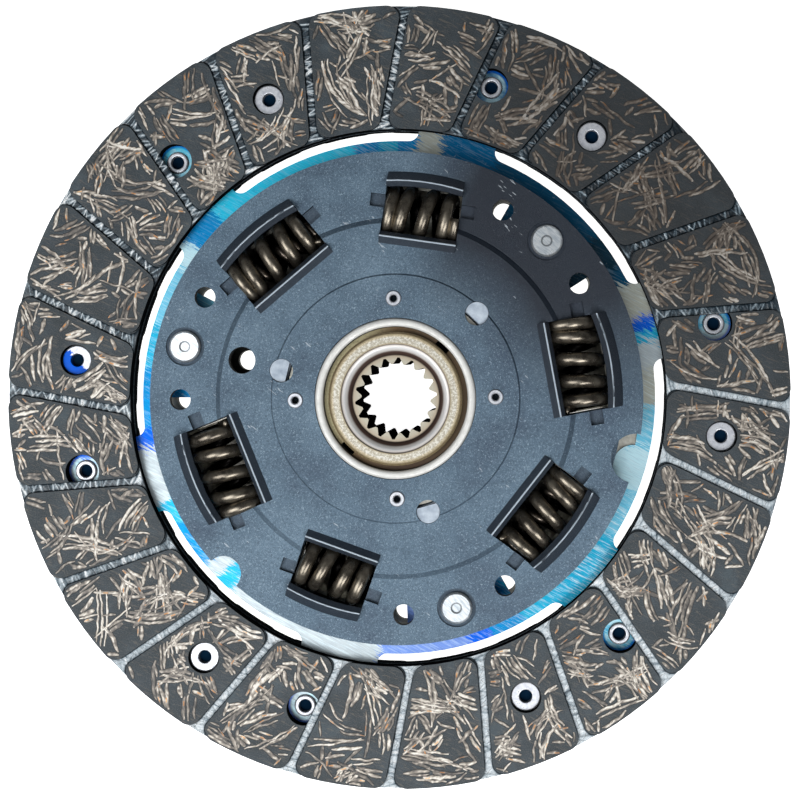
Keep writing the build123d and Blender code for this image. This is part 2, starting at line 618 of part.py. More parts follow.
def stop_pins():
    """Shouldered rivets that hold the two cover plates apart and clamp the carrier."""
    recess = COVER_RIM_TOP_Z - PIN_RECESS_DEPTH
    head = recess + PIN_FRONT_HEAD_T
    shape = [
        (0, REAR_RIM_Z - PIN_REAR_HEAD_T),
        (PIN_REAR_HEAD_R - PIN_REAR_CHAMFER, REAR_RIM_Z - PIN_REAR_HEAD_T),
        (PIN_REAR_HEAD_R, REAR_RIM_Z - PIN_REAR_HEAD_T + PIN_REAR_CHAMFER),
        (PIN_REAR_HEAD_R, REAR_RIM_Z),
        (PIN_REAR_SHANK_R, REAR_RIM_Z),
        (PIN_REAR_SHANK_R, CARRIER_TOP_Z),
        (PIN_SHOULDER_R, CARRIER_TOP_Z),
        (PIN_SHOULDER_R, COVER_RIM_Z),
        (PIN_FRONT_SHANK_R, COVER_RIM_Z),
        (PIN_FRONT_SHANK_R, recess),
        (PIN_FRONT_HEAD_R, recess),
        (PIN_FRONT_HEAD_R, head - PIN_FRONT_CHAMFER),
        (PIN_FRONT_HEAD_R - PIN_FRONT_CHAMFER, head),
        (PIN_DIMPLE_R, head),
        (PIN_DIMPLE_R, head - PIN_DIMPLE_DEPTH),
        (0, head - PIN_DIMPLE_DEPTH),
    ]
    return Compound([spun_at(shape, PIN_PLACE_R, dial) for dial in PIN_DIALS])


# ---- hub and what runs on it --------------------------------------------------------------------------
def hub_tooth_plan(grow):
    """The plan of the hub's outer teeth, grown by a clearance for the piece that fits over them."""
    tooth = sector(HUB_ROOT_R - OVERRUN, HUB_TIP_R + grow, HUB_TOOTH_HALF_ANGLE)
    if grow:
        tooth = tooth + [Pos(side * grow, 0) * tooth for side in (-1, 1)]
    teeth = [turned(tooth, index * 360 / HUB_TOOTH_COUNT) for index in range(HUB_TOOTH_COUNT)]
    return Circle(HUB_ROOT_R + grow) + teeth


def spline_plan():
    """The plan of the splined bore."""
    flank = (SPLINE_GAP_AT_TIP - SPLINE_GAP_AT_ROOT) / (SPLINE_ROOT_R - SPLINE_TIP_R) / 2
    low = SPLINE_TIP_R - OVERRUN / 2
    half_low = SPLINE_GAP_AT_TIP / 2 + flank * OVERRUN / 2
    gap = outline([
        (-half_low, low),
        (-SPLINE_GAP_AT_ROOT / 2, SPLINE_ROOT_R),
        (SPLINE_GAP_AT_ROOT / 2, SPLINE_ROOT_R),
        (half_low, low),
    ])
    dials = [SPLINE_DIAL + index * 360 / SPLINE_TEETH for index in range(SPLINE_TEETH)]
    return Circle(SPLINE_TIP_R) + [turned(gap, dial) for dial in dials]


def hub():
    """The splined hub: a rear boss, a collar, a toothed band, and a front boss with a countersunk mouth."""
    teeth_z = PREDAMPER_PLATE_Z
    mouth_z = HUB_TOP_Z - MOUTH_STEP
    body = spun(
        [
            (0, 0),
            (HUB_REAR_R - HUB_EDGE, 0),
            (HUB_REAR_R, HUB_EDGE),
            (HUB_REAR_R, teeth_z - COLLAR_T),
            (COLLAR_R, teeth_z - COLLAR_T),
            (COLLAR_R, teeth_z),
            (HUB_ROOT_R, teeth_z),
            (HUB_ROOT_R, FLANGE_TOP_Z),
            (HUB_FRONT_R, FLANGE_TOP_Z),
            (HUB_FRONT_R, HUB_TOP_Z - HUB_EDGE),
            (HUB_FRONT_R - HUB_EDGE, HUB_TOP_Z),
            (MOUTH_R, HUB_TOP_Z),
            (MOUTH_R, mouth_z),
            (MOUTH_R - MOUTH_ROUND, mouth_z - MOUTH_FALL),
            (MOUTH_CONE_R, HUB_TOP_Z - MOUTH_CONE_TOP),
            (SPLINE_ROOT_R + MOUTH_LAND, HUB_TOP_Z - MOUTH_DEPTH),
            (0, HUB_TOP_Z - MOUTH_DEPTH),
        ],
        {13: MOUTH_ROUND},
    )
    body += slab(hub_tooth_plan(0), teeth_z, FLANGE_TOP_Z)
    body -= slab(spline_plan(), -OVERRUN, HUB_TOP_Z + OVERRUN)
    lead_r = SPLINE_ROOT_R + REAR_LEAD
    rear_lead = [
        (0, -OVERRUN),
        (lead_r, -OVERRUN),
        (lead_r, 0),
        (SPLINE_ROOT_R, REAR_LEAD),
        (0, REAR_LEAD),
    ]
    return body - spun(rear_lead)


def hub_sleeve():
    """The thin bearing sleeve round the front boss, with two slots in its rim."""
    body = ring(SLEEVE_INNER_R, SLEEVE_OUTER_R, FLANGE_TOP_Z, FLANGE_TOP_Z + SLEEVE_HEIGHT)
    slot_z = FLANGE_TOP_Z + SLEEVE_HEIGHT - SLEEVE_SLOT_DEPTH
    slot = slab(bar(SLEEVE_SLOT_WIDTH, HUB_FRONT_R - OVERRUN, SLEEVE_OUTER_R + OVERRUN), slot_z, HUB_TOP_Z)
    return body - [turned(slot, dial) for dial in SLEEVE_SLOT_DIALS]


def front_bush():
    """The bearing bush in the front plate, with a flange trapped under the retainer."""
    return spun(
        [
            (BUSH_INNER_R, FLANGE_TOP_Z + OPEN_GAP),
            (BUSH_FLANGE_R, FLANGE_TOP_Z + OPEN_GAP),
            (BUSH_FLANGE_R, RETAINER_Z),
            (BUSH_OUTER_R, RETAINER_Z),
            (BUSH_OUTER_R, BUSH_TOP_Z),
            (BUSH_INNER_R, BUSH_TOP_Z),
        ],
        {4: BUSH_ROUND, 5: BUSH_ROUND},
    )


def bush_retainer():
    """The flat ring riveted under the front plate."""
    body = ring(BUSH_OUTER_R + SLIP_FIT, RETAINER_R, RETAINER_Z, COVER_INNER_Z)
    holes = [
        slab(disc_at(TUBE_R + SLIP_FIT, RETAINER_RIVET_R, dial), RETAINER_Z, COVER_INNER_Z)
        for dial in retainer_rivet_dials()
    ]
    return body - holes


def retainer_rivet_dials():
    return [RETAINER_RIVET_DIAL + index * 360 / RETAINER_RIVETS for index in range(RETAINER_RIVETS)]


def tubular_rivets():
    """The small rivets that hold the retainer to the front plate."""
    shape = [
        (TUBE_HOLE_R, RETAINER_Z - TUBE_HEAD_T),
        (TUBE_HEAD_R, RETAINER_Z - TUBE_HEAD_T),
        (TUBE_HEAD_R, RETAINER_Z),
        (TUBE_R, RETAINER_Z),
        (TUBE_R, COVER_INNER_TOP_Z),
        (TUBE_HEAD_R, COVER_INNER_TOP_Z),
        (TUBE_HEAD_R - TUBE_EDGE, COVER_INNER_TOP_Z + TUBE_HEAD_T),
        (TUBE_HOLE_R + TUBE_EDGE, COVER_INNER_TOP_Z + TUBE_HEAD_T),
        (TUBE_HOLE_R, COVER_INNER_TOP_Z + TUBE_HEAD_T - TUBE_EDGE),
    ]
    return Compound([spun_at(shape, RETAINER_RIVET_R, dial) for dial in retainer_rivet_dials()])


def front_friction_washer():
    """The plastic washer between flange and front plate, keyed to the plate by three lugs."""
    body = ring(WASHER_INNER_R, WASHER_OUTER_R, FLANGE_TOP_Z, COVER_CENTRE_Z)
    outer_part = bar(4 * LUG_R, LUG_PLACE_R - LUG_FLAT, LUG_PLACE_R + 2 * LUG_R)
    plan = disc_at(LUG_R, LUG_PLACE_R, 0) & outer_part
    lug = slab(plan, FLANGE_TOP_Z, COVER_INNER_TOP_Z - LUG_SUNK)
    return body + [turned(lug, dial) for dial in PIN_DIALS]


def rear_bush():
    """The bearing bush between the rear boss and the rear plate, with an inside flange."""
    flange_top = DISH_FRONT_Z + REAR_BUSH_FLANGE_T
    return spun([
        (REAR_BUSH_INNER_R, HUB_STUB - REAR_BUSH_OUT),
        (REAR_BUSH_OUTER_R, HUB_STUB - REAR_BUSH_OUT),
        (REAR_BUSH_OUTER_R, DISH_FRONT_Z),
        (REAR_BUSH_FLANGE_R, DISH_FRONT_Z),
        (REAR_BUSH_FLANGE_R, flange_top),
        (REAR_BUSH_OUTER_R, flange_top),
        (REAR_BUSH_OUTER_R, flange_top + REAR_BUSH_IN),
        (REAR_BUSH_INNER_R, flange_top + REAR_BUSH_IN),
    ])


def diaphragm_spring():
    """The coned washer that loads the friction stack."""
    return spun([
        (DIAPHRAGM_OUTER_R, DISH_FRONT_Z),
        (DIAPHRAGM_OUTER_R, DISH_FRONT_Z + DIAPHRAGM_SHEET),
        (DIAPHRAGM_INNER_R, WASHER_REAR_Z),
        (DIAPHRAGM_INNER_R, WASHER_REAR_Z - DIAPHRAGM_SHEET),
    ])


def rear_friction_washer():
    """The plastic washer behind the predamper, keyed to the rear plate by three pegs."""
    outer = REAR_PEG_PLACE_R + REAR_PEG_R + OPEN_GAP
    body = ring(REAR_WASHER_INNER_R, outer, WASHER_REAR_Z, PREDAMPER_REAR_Z)
    peg_low = HUB_STUB + REAR_PEG_SUNK
    pegs = [slab(disc_at(REAR_PEG_R, REAR_PEG_PLACE_R, dial), peg_low, PREDAMPER_REAR_Z) for dial in PIN_DIALS]
    return body + pegs


# ---- flange and springs -------------------------------------------------------------------------------
def hub_flange():
    """The toothed driven plate that carries the springs between the two cover plates."""
    pin_inside = PIN_PLACE_R - PIN_SHOULDER_R
    step_r = pin_inside + FLANGE_STEP / 2
    notch_r = pin_inside - FLANGE_PIN_GAP
    web_r = SPRING_PLACE_R + SPRING_R + FLANGE_WINDOW_GAP + WEB_RIM
    reach = (PIN_PLACE_R**2 + step_r**2 - PIN_SHOULDER_R**2) / (2 * PIN_PLACE_R * step_r)
    notch_half = math.degrees(math.acos(reach)) + STOP_PLAY
    web_half = 180 / PIN_COUNT - WEB_START
    web = sector(notch_r - OVERRUN, web_r, web_half)
    web_corner_y = web_r * math.cos(math.radians(web_half))
    web_corners = web.vertices().filter_by_position(Axis.Y, web_corner_y - OVERRUN, web_r)
    web = fillet(web_corners, WEB_CORNER)
    plan = Circle(step_r) + [turned(web, dial + 180 / PIN_COUNT) for dial in PIN_DIALS]
    plan -= [turned(sector(notch_r, web_r + OVERRUN, notch_half), dial) for dial in PIN_DIALS]
    window_in = SPRING_PLACE_R - SPRING_R - FLANGE_WINDOW_GAP
    window_out = SPRING_PLACE_R + SPRING_R + FLANGE_WINDOW_GAP
    for dial, length in zip(STATIONS, STATION_WINDOWS):
        plan -= turned(bar(length, window_in, window_out), dial)
    plan -= disc_at(TOOL_HOLE_R + FLANGE_TOOL_GAP, TOOL_HOLE_PLACE, TOOL_HOLE_DIAL)
    peg_hole_r = PREDAMPER_PEG_R + RUNNING_FIT
    plan -= [disc_at(peg_hole_r, PREDAMPER_PEG_PLACE_R, dial) for dial in predamper_peg_dials()]
    tooth_half = 180 / HUB_TOOTH_COUNT - HUB_TOOTH_HALF_ANGLE - HUB_PLAY
    bore = Circle(HUB_TIP_R + OPEN_GAP)
    for index in range(HUB_TOOTH_COUNT):
        tooth = sector(HUB_ROOT_R + OPEN_GAP, HUB_TIP_R + OVERRUN, tooth_half)
        bore -= turned(tooth, (index + 0.5) * 360 / HUB_TOOTH_COUNT)
    return slab(plan - bore, FLANGE_Z, FLANGE_TOP_Z)


def damper_spring(station):
    """One of the six strong springs, lying along the tangent in its window."""
    length = STATION_WINDOWS[station] - 2 * SPRING_END_GAP
    wound = coil((SPRING_OD - SPRING_WIRE) / 2, SPRING_WIRE, SPRING_PITCH, length)
    return turned(Pos(0, SPRING_PLACE_R, SPRING_Z) * wound, STATIONS[station])


def inner_spring(station):
    """A thinner spring of the other hand inside a strong one."""
    length = STATION_WINDOWS[station] - 2 * SPRING_END_GAP
    mean_r = (INNER_SPRING_OD - INNER_SPRING_WIRE) / 2
    wound = coil(mean_r, INNER_SPRING_WIRE, INNER_SPRING_PITCH, length, left_hand=True)
    return turned(Pos(0, SPRING_PLACE_R, SPRING_Z) * wound, STATIONS[station])


# ---- predamper ----------------------------------------------------------------------------------------
def predamper_peg_dials():
    return [PREDAMPER_PEG_DIAL + index * 360 / PREDAMPER_SPRINGS for index in range(PREDAMPER_SPRINGS)]


def predamper_spring_dials():
    return [index * 360 / PREDAMPER_SPRINGS for index in range(PREDAMPER_SPRINGS)]


def predamper_windows(low, high):
    """The window for each light spring through one of the predamper's plates."""
    half = PREDAMPER_SPRING_OD / 2 + OPEN_GAP
    window = bar(PREDAMPER_WINDOW, PREDAMPER_SPRING_PLACE_R - half, PREDAMPER_SPRING_PLACE_R + half)
    return [turned(slab(window, low, high), dial) for dial in predamper_spring_dials()]


def predamper_housing():
    """The shallow cup behind the flange, held to it by four pegs."""
    body = ring(COLLAR_R + OPEN_GAP, PREDAMPER_R, PREDAMPER_FRONT_Z, FLANGE_Z)
    cover_front = PREDAMPER_REAR_Z + PREDAMPER_SHEET
    body += ring(PREDAMPER_R - PREDAMPER_WALL, PREDAMPER_R, cover_front, PREDAMPER_FRONT_Z)
    body += [
        slab(disc_at(PREDAMPER_PEG_R, PREDAMPER_PEG_PLACE_R, dial), FLANGE_Z, FLANGE_Z + PREDAMPER_PEG_HEIGHT)
        for dial in predamper_peg_dials()
    ]
    return body - predamper_windows(PREDAMPER_FRONT_Z, FLANGE_Z)


def predamper_cover():
    """The ring that closes the cup."""
    low = PREDAMPER_REAR_Z
    high = low + PREDAMPER_SHEET
    return ring(COLLAR_R + OPEN_GAP, PREDAMPER_R, low, high) - predamper_windows(low, high)


def predamper_hub_plate():
    """The plate on the hub's teeth that drives the light springs."""
    low = PREDAMPER_PLATE_Z
    high = low + PREDAMPER_PLATE_T
    body = slab(Circle(PREDAMPER_PLATE_R) - hub_tooth_plan(RUNNING_FIT), low, high)
    return body - predamper_windows(low, high)


def predamper_spring(index):
    length = PREDAMPER_WINDOW - 2 * SPRING_END_GAP
    mean_r = (PREDAMPER_SPRING_OD - PREDAMPER_SPRING_WIRE) / 2
    wound = coil(mean_r, PREDAMPER_SPRING_WIRE, PREDAMPER_SPRING_PITCH, length)
    placed = Pos(0, PREDAMPER_SPRING_PLACE_R, PREDAMPER_SPRING_Z) * wound
    return turned(placed, predamper_spring_dials()[index])


# ---- every node ---------------------------------------------------------------------------------------
def all_nodes():
    facing = front_facing()
    facing_rivets = front_facing_rivets()
    nodes = {
        "front_facing": facing,
        "rear_facing": flipped(facing),
        "front_facing_rivets": facing_rivets,
        "rear_facing_rivets": flipped(facing_rivets),
        "carrier_disc": carrier_disc(),
        "front_cover_plate": front_cover_plate(),
        "rear_cover_plate": rear_cover_plate(),
        "stop_pins": stop_pins(),
        "hub": hub(),
        "hub_sleeve": hub_sleeve(),
        "front_bush": front_bush(),
        "bush_retainer": bush_retainer(),
        "tubular_rivets": tubular_rivets(),
        "front_friction_washer": front_friction_washer(),
        "rear_bush": rear_bush(),
        "diaphragm_spring": diaphragm_spring(),
        "rear_friction_washer": rear_friction_washer(),
        "hub_flange": hub_flange(),
        "predamper_housing": predamper_housing(),
        "predamper_cover": predamper_cover(),
        "predamper_hub_plate": predamper_hub_plate(),
    }
    for station in range(len(STATIONS)):
        nodes[f"damper_spring_{station + 1}"] = damper_spring(station)
    for order, station in enumerate(INNER_SPRING_STATIONS):
        nodes[f"inner_spring_{order + 1}"] = inner_spring(station)
    for index in range(PREDAMPER_SPRINGS):
        nodes[f"predamper_spring_{index + 1}"] = predamper_spring(index)
    return nodes


os.makedirs("parts", exist_ok=True)
for node, shape in all_nodes().items():
    export_step(shape, f"parts/{node}.step")
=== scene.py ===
# The looks of a clutch disc: procedural finishes for its CAD nodes, and modelled yarn, groove skins and
# coils.
import math

import bpy
import numpy as np
from mathutils import Matrix, Vector


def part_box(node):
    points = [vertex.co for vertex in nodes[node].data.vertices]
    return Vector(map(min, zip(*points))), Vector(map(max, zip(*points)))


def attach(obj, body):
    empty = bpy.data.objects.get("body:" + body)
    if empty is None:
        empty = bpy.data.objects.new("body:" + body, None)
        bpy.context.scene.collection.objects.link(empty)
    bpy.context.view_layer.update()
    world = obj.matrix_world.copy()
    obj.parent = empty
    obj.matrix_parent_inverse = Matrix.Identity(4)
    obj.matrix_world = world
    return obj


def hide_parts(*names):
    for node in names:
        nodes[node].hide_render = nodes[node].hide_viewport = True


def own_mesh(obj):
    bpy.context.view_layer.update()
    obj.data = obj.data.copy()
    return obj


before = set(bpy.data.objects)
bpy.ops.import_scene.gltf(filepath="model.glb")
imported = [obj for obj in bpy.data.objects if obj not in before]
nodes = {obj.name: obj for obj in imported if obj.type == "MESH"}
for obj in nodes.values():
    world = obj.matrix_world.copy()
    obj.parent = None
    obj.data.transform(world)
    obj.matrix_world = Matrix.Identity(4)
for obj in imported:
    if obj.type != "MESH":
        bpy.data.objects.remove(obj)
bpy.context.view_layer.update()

# Lengths are metres, apart from names that end in _MM and the numbers in finishes, which are millimetres.
# Dial angles are degrees clockwise from +Y, seen from above.
MM = 0.001
SEED = 20


# ---- sizes read from the frame ---------------------------------------------------------------------------
def points_of(node):
    """The corner points of a CAD node's mesh."""
    flat = np.zeros(len(nodes[node].data.vertices) * 3)
    nodes[node].data.vertices.foreach_get("co", flat)
    return flat.reshape(-1, 3)


def radii_of(node):
    """The smallest and the largest radius of a CAD node."""
    points = points_of(node)
    radius = np.hypot(points[:, 0], points[:, 1])
    return radius.min(), radius.max()


FACING_INNER_R, FACING_OUTER_R = radii_of("front_facing")
PAD_TOP_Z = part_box("front_facing")[1].z
CARRIER_MID_Z = (PAD_TOP_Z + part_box("rear_facing")[0].z) / 2
COVER_CREST_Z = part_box("front_cover_plate")[1].z
HUB_FRONT_R = radii_of("hub_sleeve")[0]
SLEEVE_TOP_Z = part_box("hub_sleeve")[1].z
SPRING_Z = (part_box("damper_spring_1")[0].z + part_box("damper_spring_1")[1].z) / 2
HUB_TOP_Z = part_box("hub")[1].z
PIN_CIRCLE_R = sum(radii_of("stop_pins")) / 2

# ---- the front cover plate's layout, which its finish works from -----------------------------------------
RIM_TOP_MM = COVER_CREST_Z / MM - 2.38
ZONE_TOP_MM = COVER_CREST_Z / MM - 1.38
ABOVE_FACE_MM = 0.15
POCKET_FLOOR_MM = RIM_TOP_MM - 1.3
POCKET_MOUTH_MM = RIM_TOP_MM - 0.3
LIP_FOOT_R_MM = 46.0
STEP_R_MM = 31.4
INNER_LIP_R_MM = STEP_R_MM + 4
TOOL_CIRCLE_R = 40.0 * MM
TOOL_DIAL = 284.0
# The rear plate is painted dark as shade within this radius of the tool hole.
TOOL_SHADE_R_MM = 4.6
PIN_DIAL = 43.8
PIN_COUNT = 3

# How much painted shade darkens the disc by share of a turn from +Y: all of it lies at the upper right.
SHADED_DIALS = [
    (share, (grey, grey, grey, 1))
    for share, grey in ((0.0, 0), (0.06, 1), (0.17, 1), (0.24, 0.42), (0.29, 0))
]
# Radii over which the front plate's painted shade grows from nothing to full.
SHADE_STARTS_R_MM = 20.0
SHADE_FULL_R_MM = 44.0

# ---- the facing's layout ---------------------------------------------------------------------------------
GROOVE_COUNT = 24
GROOVE_WIDTH = 2.1 * MM
GROOVE_DEPTH = 1.1 * MM
GROOVE_OFFSET = 16.2 * MM
GROOVE_DIAL = 10.64
# A groove passes beside the axis, so its middle lies this many degrees before the dial that it points at.
GROOVE_LAG = 11.2
PAD_CORNER = 3.2 * MM
FLIP_DIAL = 26.75
RIVET_CIRCLE_R = 83.07 * MM
RIVET_COUNT = 6
RIVET_STEP = 360 / RIVET_COUNT
HEAD_RIVET_DIAL = 36.7
TAIL_RIVET_DIAL = 2 * FLIP_DIAL - HEAD_RIVET_DIAL
PAINTED_RIVET_DIAL = HEAD_RIVET_DIAL + 4 * RIVET_STEP
PAINT_HALF_MM = 6.0
HEAD_SEAT_R = 4.0 * MM
TAIL_HOLE_R = 4.35 * MM
UNDER_PADS_R_MM = 75.0

# ---- yarn: each pad has bundles of strands ---------------------------------------------------------------
YARN_TRIES = 52
YARN_STEP = 0.6 * MM
YARN_CELL = 0.8 * MM
YARN_CLEAR = 0.15 * MM
YARN_LIFT = 0.008 * MM
YARN_DOME = 0.05 * MM
# How far the painted shadow under each strand reaches past it, and its material slot.
YARN_SHADOW_REACH = 0.14 * MM
YARN_SHADOW_SLOT = 1
YARN_COPPER_SLOT = 2
BUNDLE_DIALS = 9
BUNDLE_STRANDS = (1, 5)
BUNDLE_GAP_MM = (0.85, 1.15)
BUNDLE_LENGTH_MM = (6, 20)
BUNDLE_BEND = (5, 80)
BUNDLE_SHADE = (0.2, 0.55)
BUNDLES_CROSSING = 0.3
STRAND_HALF_WIDTH_MM = (0.28, 0.58)
STRAND_LENGTH = (0.45, 1.0)
STRAND_SLIP_MM = 2.5
STRAND_LIFT_MM = (0.012, 0.04)
STRAND_FEWEST_POINTS = 5
STRANDS_WITH_FLECK = 0.3
# How much a strand's middle is lightened as a painted highlight, and its flanks darkened as painted shade.
CREST_HIGHLIGHT = 0.26
FLANK_SHADE = 0.14

# ---- groove skins ----------------------------------------------------------------------------------------
SKIN_ROWS = 250
SKIN_LINES = 10
SKIN_RISE = 0.22 * MM
SKIN_FROM_RIM = 0.1 * MM
SKIN_GRAIN = 0.012 * MM
RIDGE_SLANT = 0.7
RIDGE_WIDE_MM = (0.1, 0.34)
RIDGE_TALL_MM = (-0.16, 0.22)
RIDGE_APART_MM = (0.3, 0.95)
# Share of ridges that are tinted: painted glints on dark skins, darker lines on pale ones.
RIDGES_TINTED = 0.75
# How pale the skins are painted by dial, as a reflection of the light, and the dials where painted shade
# dulls even their painted bright stripes.
SKIN_DIALS = (0, 20, 70, 90, 215, 245, 360)
SKIN_REFLECTION = (0.1, 0.0, 0.0, 0.8, 0.85, 0.25, 0.1)
DULL_FROM = 12
DULL_TO = 80
DULL_SHARE = 0.45

# ---- springs ---------------------------------------------------------------------------------------------
MAIN_WIRE = 3.4 * MM
MAIN_PITCH = 5.7 * MM
LONG_SPRING = 21 * MM
LONG_TURNS = 3
SHORT_TURNS = 2
# How far each main coil is turned about its own axis, in turns.
COIL_PHASES = (0.15, 0.27, 0.27, 0.5, 0.27, 0.27)
INNER_WIRE = 2.0 * MM
INNER_PITCH = 3.6 * MM
LIGHT_WIRE = 0.8 * MM
LIGHT_PITCH = 1.6 * MM
THIN_TURNS = 5
CLOSED_TURNS = 1.15
GROUND_SHARE = 0.12
COIL_STEPS = 44
WIRE_SIDES = 18

# ---- camera and light ------------------------------------------------------------------------------------
# How the sky brightens with height and dims towards +X +Y: from and to, and the brightness at each.
WORLD_RISE = (0.70, 0.97, 0.0, 1.0)
WORLD_SIDE = (-0.12, 0.18, 0.85, 0.03)
WORLD_BASE = 0.10
FLOOR_HALF = 40.0
FLOOR_DROP = 0.0002
LIGHT_POWER = 1.2
CAMERA_OFFSET = (0.031, 0.011)
CAMERA_ABOVE_PADS = 0.400
CAMERA_TILT = math.radians(1.6)
CAMERA_LENS_MM = 70.706
CAMERA_SHIFT = (-0.0962, -0.0378)
SENSOR_MM = 36.0


# ---- small helpers ---------------------------------------------------------------------------------------
def srgb(red, green, blue):
    """A colour given as 0 to 255 on the screen, as the linear colour that shaders take."""
    shares = [channel / 255 for channel in (red, green, blue)]
    linear = [c / 12.92 if c <= 0.04045 else ((c + 0.055) / 1.055) ** 2.4 for c in shares]
    return (*linear, 1.0)


def on_dial(radius, dial):
    """X and Y of a place at a radius and a dial angle."""
    angle = math.radians(dial)
    return radius * math.sin(angle), radius * math.cos(angle)


def add_piece(name, vertices, faces, body, materials, tints=None):
    """A smooth mesh piece, placed at rest, that rides on a CAD body. Tints are a number for each vertex."""
    mesh = bpy.data.meshes.new(name)
    mesh.from_pydata([tuple(v) for v in vertices], [], [tuple(f) for f in faces])
    mesh.update()
    mesh.polygons.foreach_set("use_smooth", [True] * len(mesh.polygons))
    if tints is not None:
        tint = mesh.attributes.new("tint", "FLOAT", "POINT")
        tint.data.foreach_set("value", np.asarray(tints, np.float32))
    for material in materials:
        mesh.materials.append(material)
    piece = bpy.data.objects.new(name, mesh)
    bpy.context.scene.collection.objects.link(piece)
    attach(piece, body)
    return piece


def flip_matrix():
    """Turns a front piece over about a radial line in the carrier's middle plane, for its rear twin."""
    centre = Matrix.Translation((0, 0, CARRIER_MID_Z))
    line = Vector((*on_dial(1, FLIP_DIAL), 0))
    return centre @ Matrix.Rotation(math.pi, 4, line) @ centre.inverted()


def add_rear_twin(piece, name, body):
    """The same mesh turned over for the rear facing."""
    mesh = piece.data.copy()
    mesh.transform(flip_matrix())
    twin = bpy.data.objects.new(name, mesh)
    bpy.context.scene.collection.objects.link(twin)
    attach(twin, body)


class Finish:
    """One procedural material. Its nodes work in millimetres on the piece at rest."""

    def __init__(self, name, metallic=0.0, roughness=0.5):
        self.material = bpy.data.materials.new(name)
        self.material.use_nodes = True
        self.tree = self.material.node_tree
        self.shader = self.tree.nodes["Principled BSDF"]
        self.shader.inputs["Metallic"].default_value = metallic
        self.shader.inputs["Roughness"].default_value = roughness
        place = self.node("ShaderNodeTexCoord").outputs["Object"]
        self.place = self.vector("SCALE", place, scale=1 / MM)
        split = self.node("ShaderNodeSeparateXYZ")
        self.link(self.place, split.inputs[0])
        self.x, self.y, self.z = split.outputs

    def node(self, kind, **settings):
        """A new node with its settings."""
        made = self.tree.nodes.new(kind)
        for name, value in settings.items():
            setattr(made, name, value)
        return made

    def link(self, source, target):
        """Leads an output to an input."""
        self.tree.links.new(source, target)

    def feed(self, target, value):
        """Gives a socket a linked output or a plain value."""
        if isinstance(value, bpy.types.NodeSocket):
            self.link(value, target)
        else:
            target.default_value = value

    def math(self, operation, *values):
        """One sum on linked or plain values."""
        made = self.node("ShaderNodeMath", operation=operation)
        for socket, value in zip(made.inputs, values):
            self.feed(socket, value)
        return made.outputs[0]

    def vector(self, operation, source, other=None, scale=None):
        """One sum on vectors."""
        made = self.node("ShaderNodeVectorMath", operation=operation)
        self.feed(made.inputs[0], source)
        if other is not None:
            self.feed(made.inputs[1], other)
        if scale is not None:
            made.inputs["Scale"].default_value = scale
        return made.outputs[0]

    def hypotenuse(self, first, second):
        """The square root of the sum of two squares."""
        return self.math("SQRT", self.math("ADD", self.product(first, first), self.product(second, second)))

    def radius(self):
        """Distance from the disc's axis, in millimetres."""
        return self.hypotenuse(self.x, self.y)

    def dial(self):
        """The dial angle as a share of a full turn, from 0 to 1."""
        turn = self.math("DIVIDE", self.math("ARCTAN2", self.x, self.y), math.tau)
        return self.math("FRACT", self.math("ADD", turn, 1.0))

    def along(self, turn=0.0, stretch=(1, 1, 1)):
        """The place turned about the axis by degrees and then stretched, for streaks."""
        made = self.node("ShaderNodeMapping", vector_type="TEXTURE")
        self.link(self.place, made.inputs["Vector"])
        made.inputs["Rotation"].default_value = (0, 0, math.radians(-turn))
        made.inputs["Scale"].default_value = stretch
        return made.outputs[0]

    def noise(self, per_mm, detail=3.0, rough=0.55, place=None, twist=0.0):
        """Cloudy noise from 0 to 1, with so many waves a millimetre."""
        made = self.node("ShaderNodeTexNoise")
        self.link(place or self.place, made.inputs["Vector"])
        made.inputs["Scale"].default_value = per_mm
        made.inputs["Detail"].default_value = detail
        made.inputs["Roughness"].default_value = rough
        made.inputs["Distortion"].default_value = twist
        return made.outputs[0]

    def cracks(self, per_mm, place):
        """Distance from the nearest edge of irregular cells."""
        made = self.node("ShaderNodeTexVoronoi", feature="DISTANCE_TO_EDGE")
        self.link(place, made.inputs["Vector"])
        made.inputs["Scale"].default_value = per_mm
        return made.outputs["Distance"]

    def product(self, *values):
        """All the values multiplied together."""
        result = values[0]
        for value in values[1:]:
            result = self.math("MULTIPLY", result, value)
        return result

    def from_row(self, ring_r, first_dial, count):
        """Distance in millimetres from the nearest of several places spaced evenly on a circle."""
        share = self.math("MULTIPLY", self.math("SUBTRACT", self.dial(), first_dial / 360), float(count))
        past = self.math("SUBTRACT", share, self.math("ROUND", share))
        angle = self.math("MULTIPLY", past, math.tau / count)
        radius = self.radius()
        across = self.product(radius, self.math("SINE", angle))
        outwards = self.math("SUBTRACT", self.product(radius, self.math("COSINE", angle)), ring_r / MM)
        return self.hypotenuse(across, outwards)

    def slope(self, level, steep):
        """How far the surface leans: 0 where it lies flat, up to 1 where it is steep."""
        split = self.node("ShaderNodeSeparateXYZ")
        self.link(self.node("ShaderNodeNewGeometry").outputs["True Normal"], split.inputs[0])
        return self.spread(self.math("ABSOLUTE", split.outputs[2]), level, steep)

    def wall(self):
        """1 on upright faces, such as cut edges, and 0 elsewhere."""
        return self.slope(0.3, 0.12)

    def painted_shade(self):
        """How much painted shade the disc gets at this dial, from 0 to 1."""
        return self.ramp(self.dial(), SHADED_DIALS)[0]

    def matt(self, share):
        """Takes the gloss off where the share is 1, as in corners painted black as shade."""
        self.feed(self.shader.inputs["Specular IOR Level"], self.spread(share, 0.0, 1.0, 0.5, 0.0))

    def spread(self, value, low, high, to_low=0.0, to_high=1.0):
        """Maps a range of a value to another range, with no more and no less."""
        made = self.node("ShaderNodeMapRange")
        for socket, number in zip(made.inputs, (value, low, high, to_low, to_high)):
            self.feed(socket, number)
        return made.outputs[0]

